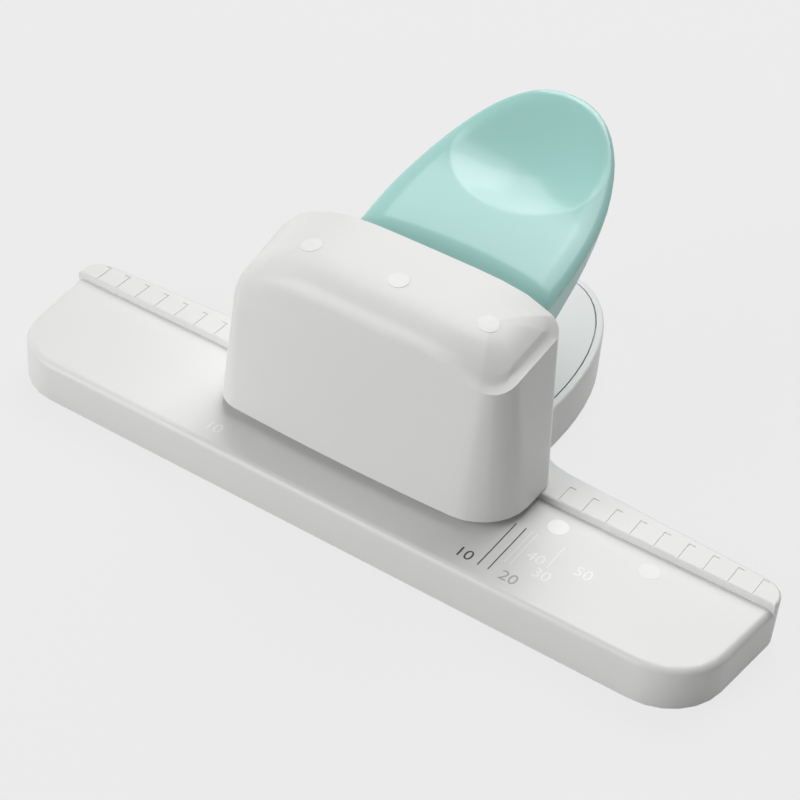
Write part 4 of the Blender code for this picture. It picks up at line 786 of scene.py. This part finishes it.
def stage_material():
    """Pale floor that keeps a soft shadow under the object."""
    made = bpy.data.materials.new("studio_floor")
    made.use_nodes = True
    tree = made.node_tree
    output = tree.nodes["Material Output"]
    diffuse = tree.nodes["Principled BSDF"]
    diffuse.inputs["Base Color"].default_value = (FLOOR_GREY, FLOOR_GREY, FLOOR_GREY, 1.0)
    diffuse.inputs["Roughness"].default_value = FLOOR_ROUGHNESS
    glow = place(tree, "ShaderNodeEmission", {
        "Color": (FLOOR_PALE, FLOOR_PALE, FLOOR_PALE, 1.0), "Strength": 1.0})
    seen = maths(tree, "MULTIPLY", seen_directly(tree), FLOOR_GLOW)
    mixed = place(tree, "ShaderNodeMixShader", {
        "Fac": seen, 1: diffuse.outputs["BSDF"], 2: glow.outputs["Emission"]})
    tree.links.new(mixed.outputs["Shader"], output.inputs["Surface"])
    return made


def make_floor():
    """Plain pale floor."""
    shape = bmesh.new()
    bmesh.ops.create_grid(shape, x_segments=1, y_segments=1, size=FLOOR_SIZE)
    mesh = bpy.data.meshes.new("floor")
    shape.to_mesh(mesh)
    shape.free()
    mesh.materials.append(stage_material())
    floor = bpy.data.objects.new("floor", mesh)
    bpy.context.scene.collection.objects.link(floor)


def make_world():
    """Even grey surroundings, pale where the camera or a reflection sees them."""
    world = bpy.data.worlds.new("studio")
    bpy.context.scene.world = world
    world.use_nodes = True
    tree = world.node_tree
    ground = tree.nodes["Background"]
    ground.inputs["Color"].default_value = (1.0, 1.0, 1.0, 1.0)
    ground.inputs["Strength"].default_value = ROOM_LIGHT
    seen = place(tree, "ShaderNodeBackground", {
        "Color": (BACKDROP, BACKDROP, BACKDROP, 1.0), "Strength": 1.0})
    mixed = place(tree, "ShaderNodeMixShader", {
        "Fac": seen_directly(tree), 1: ground.outputs["Background"], 2: seen.outputs["Background"]})
    tree.links.new(mixed.outputs["Shader"], tree.nodes["World Output"].inputs["Surface"])


def outward(turn, rise):
    """Direction from the punch to a place round it: turn 0 in front, a quarter turn at its right."""
    return Vector((math.sin(turn) * math.cos(rise), -math.cos(turn) * math.cos(rise), math.sin(rise)))


def softbox(name, azimuth, elevation, distance, size, power):
    """Area light aimed at the punch; azimuth 0 stands in front of it and 90 at its right."""
    turn = math.radians(azimuth)
    rise = math.radians(elevation)
    away = outward(turn, rise)
    light = bpy.data.lights.new(name, "AREA")
    light.shape = "RECTANGLE"
    light.size = size
    light.size_y = size
    light.energy = power
    lamp = bpy.data.objects.new(name, light)
    lamp.location = away * distance + Vector((0.0, 0.0, LIGHT_AIM_Z))
    lamp.rotation_mode = "QUATERNION"
    lamp.rotation_quaternion = away.to_track_quat("Z", "Y")
    bpy.context.scene.collection.objects.link(lamp)


def make_lights():
    """Soft key behind with a weaker one above it, a low fill in front and a faint one at the right."""
    softbox("key_back_left", azimuth=196.0, elevation=46.0, distance=1.2, size=1.05, power=8.8)
    softbox("top_back", azimuth=186.0, elevation=64.0, distance=1.2, size=0.75, power=3.2)
    softbox("fill_front_left", azimuth=-32.0, elevation=24.0, distance=1.3, size=0.9, power=11.3)
    softbox("side_right", azimuth=98.0, elevation=12.0, distance=1.3, size=0.9, power=1.6)


def make_camera():
    """Camera at the photograph's angle."""
    back = outward(CAMERA_AZIMUTH, CAMERA_ELEVATION)
    right = Vector((math.cos(CAMERA_AZIMUTH), math.sin(CAMERA_AZIMUTH), 0.0))
    up = back.cross(right)
    rolled_right = right * math.cos(CAMERA_ROLL) + up * math.sin(CAMERA_ROLL)
    rolled_up = up * math.cos(CAMERA_ROLL) - right * math.sin(CAMERA_ROLL)
    place_matrix = Matrix((rolled_right, rolled_up, back)).transposed().to_4x4()
    aim = Vector((CAMERA_AIM[0], CAMERA_AIM[1] + PIN_LINE_Y, 0.0))
    place_matrix.translation = aim + back * CAMERA_DISTANCE
    data = bpy.data.cameras.new("camera")
    data.lens = CAMERA_LENS
    data.sensor_width = CAMERA_SENSOR
    data.clip_start = CAMERA_NEAR
    camera = bpy.data.objects.new("camera", data)
    camera.matrix_world = place_matrix
    bpy.context.scene.collection.objects.link(camera)
    bpy.context.scene.camera = camera


def make_scene():
    """Dress the punch and light it."""
    inks = {
        PRINT_WHITE: print_ink("white_ink", PRINT_WHITE),
        PRINT_FAINT: print_ink("faint_ink", PRINT_FAINT),
        PRINT_PAINTED_SHADE: print_ink("ink_with_painted_shade", PRINT_PAINTED_SHADE),
        PRINT_HALF_PAINTED_SHADE: print_ink("ink_with_painted_half_shade", PRINT_HALF_PAINTED_SHADE),
    }
    head = dress_cad_nodes()
    make_dots(inks, head)
    make_gauge_lines(inks)
    make_gauge_numbers(inks)
    make_floor()
    make_world()
    make_lights()
    make_camera()
    bpy.context.scene.view_settings.view_transform = "Standard"


make_scene()
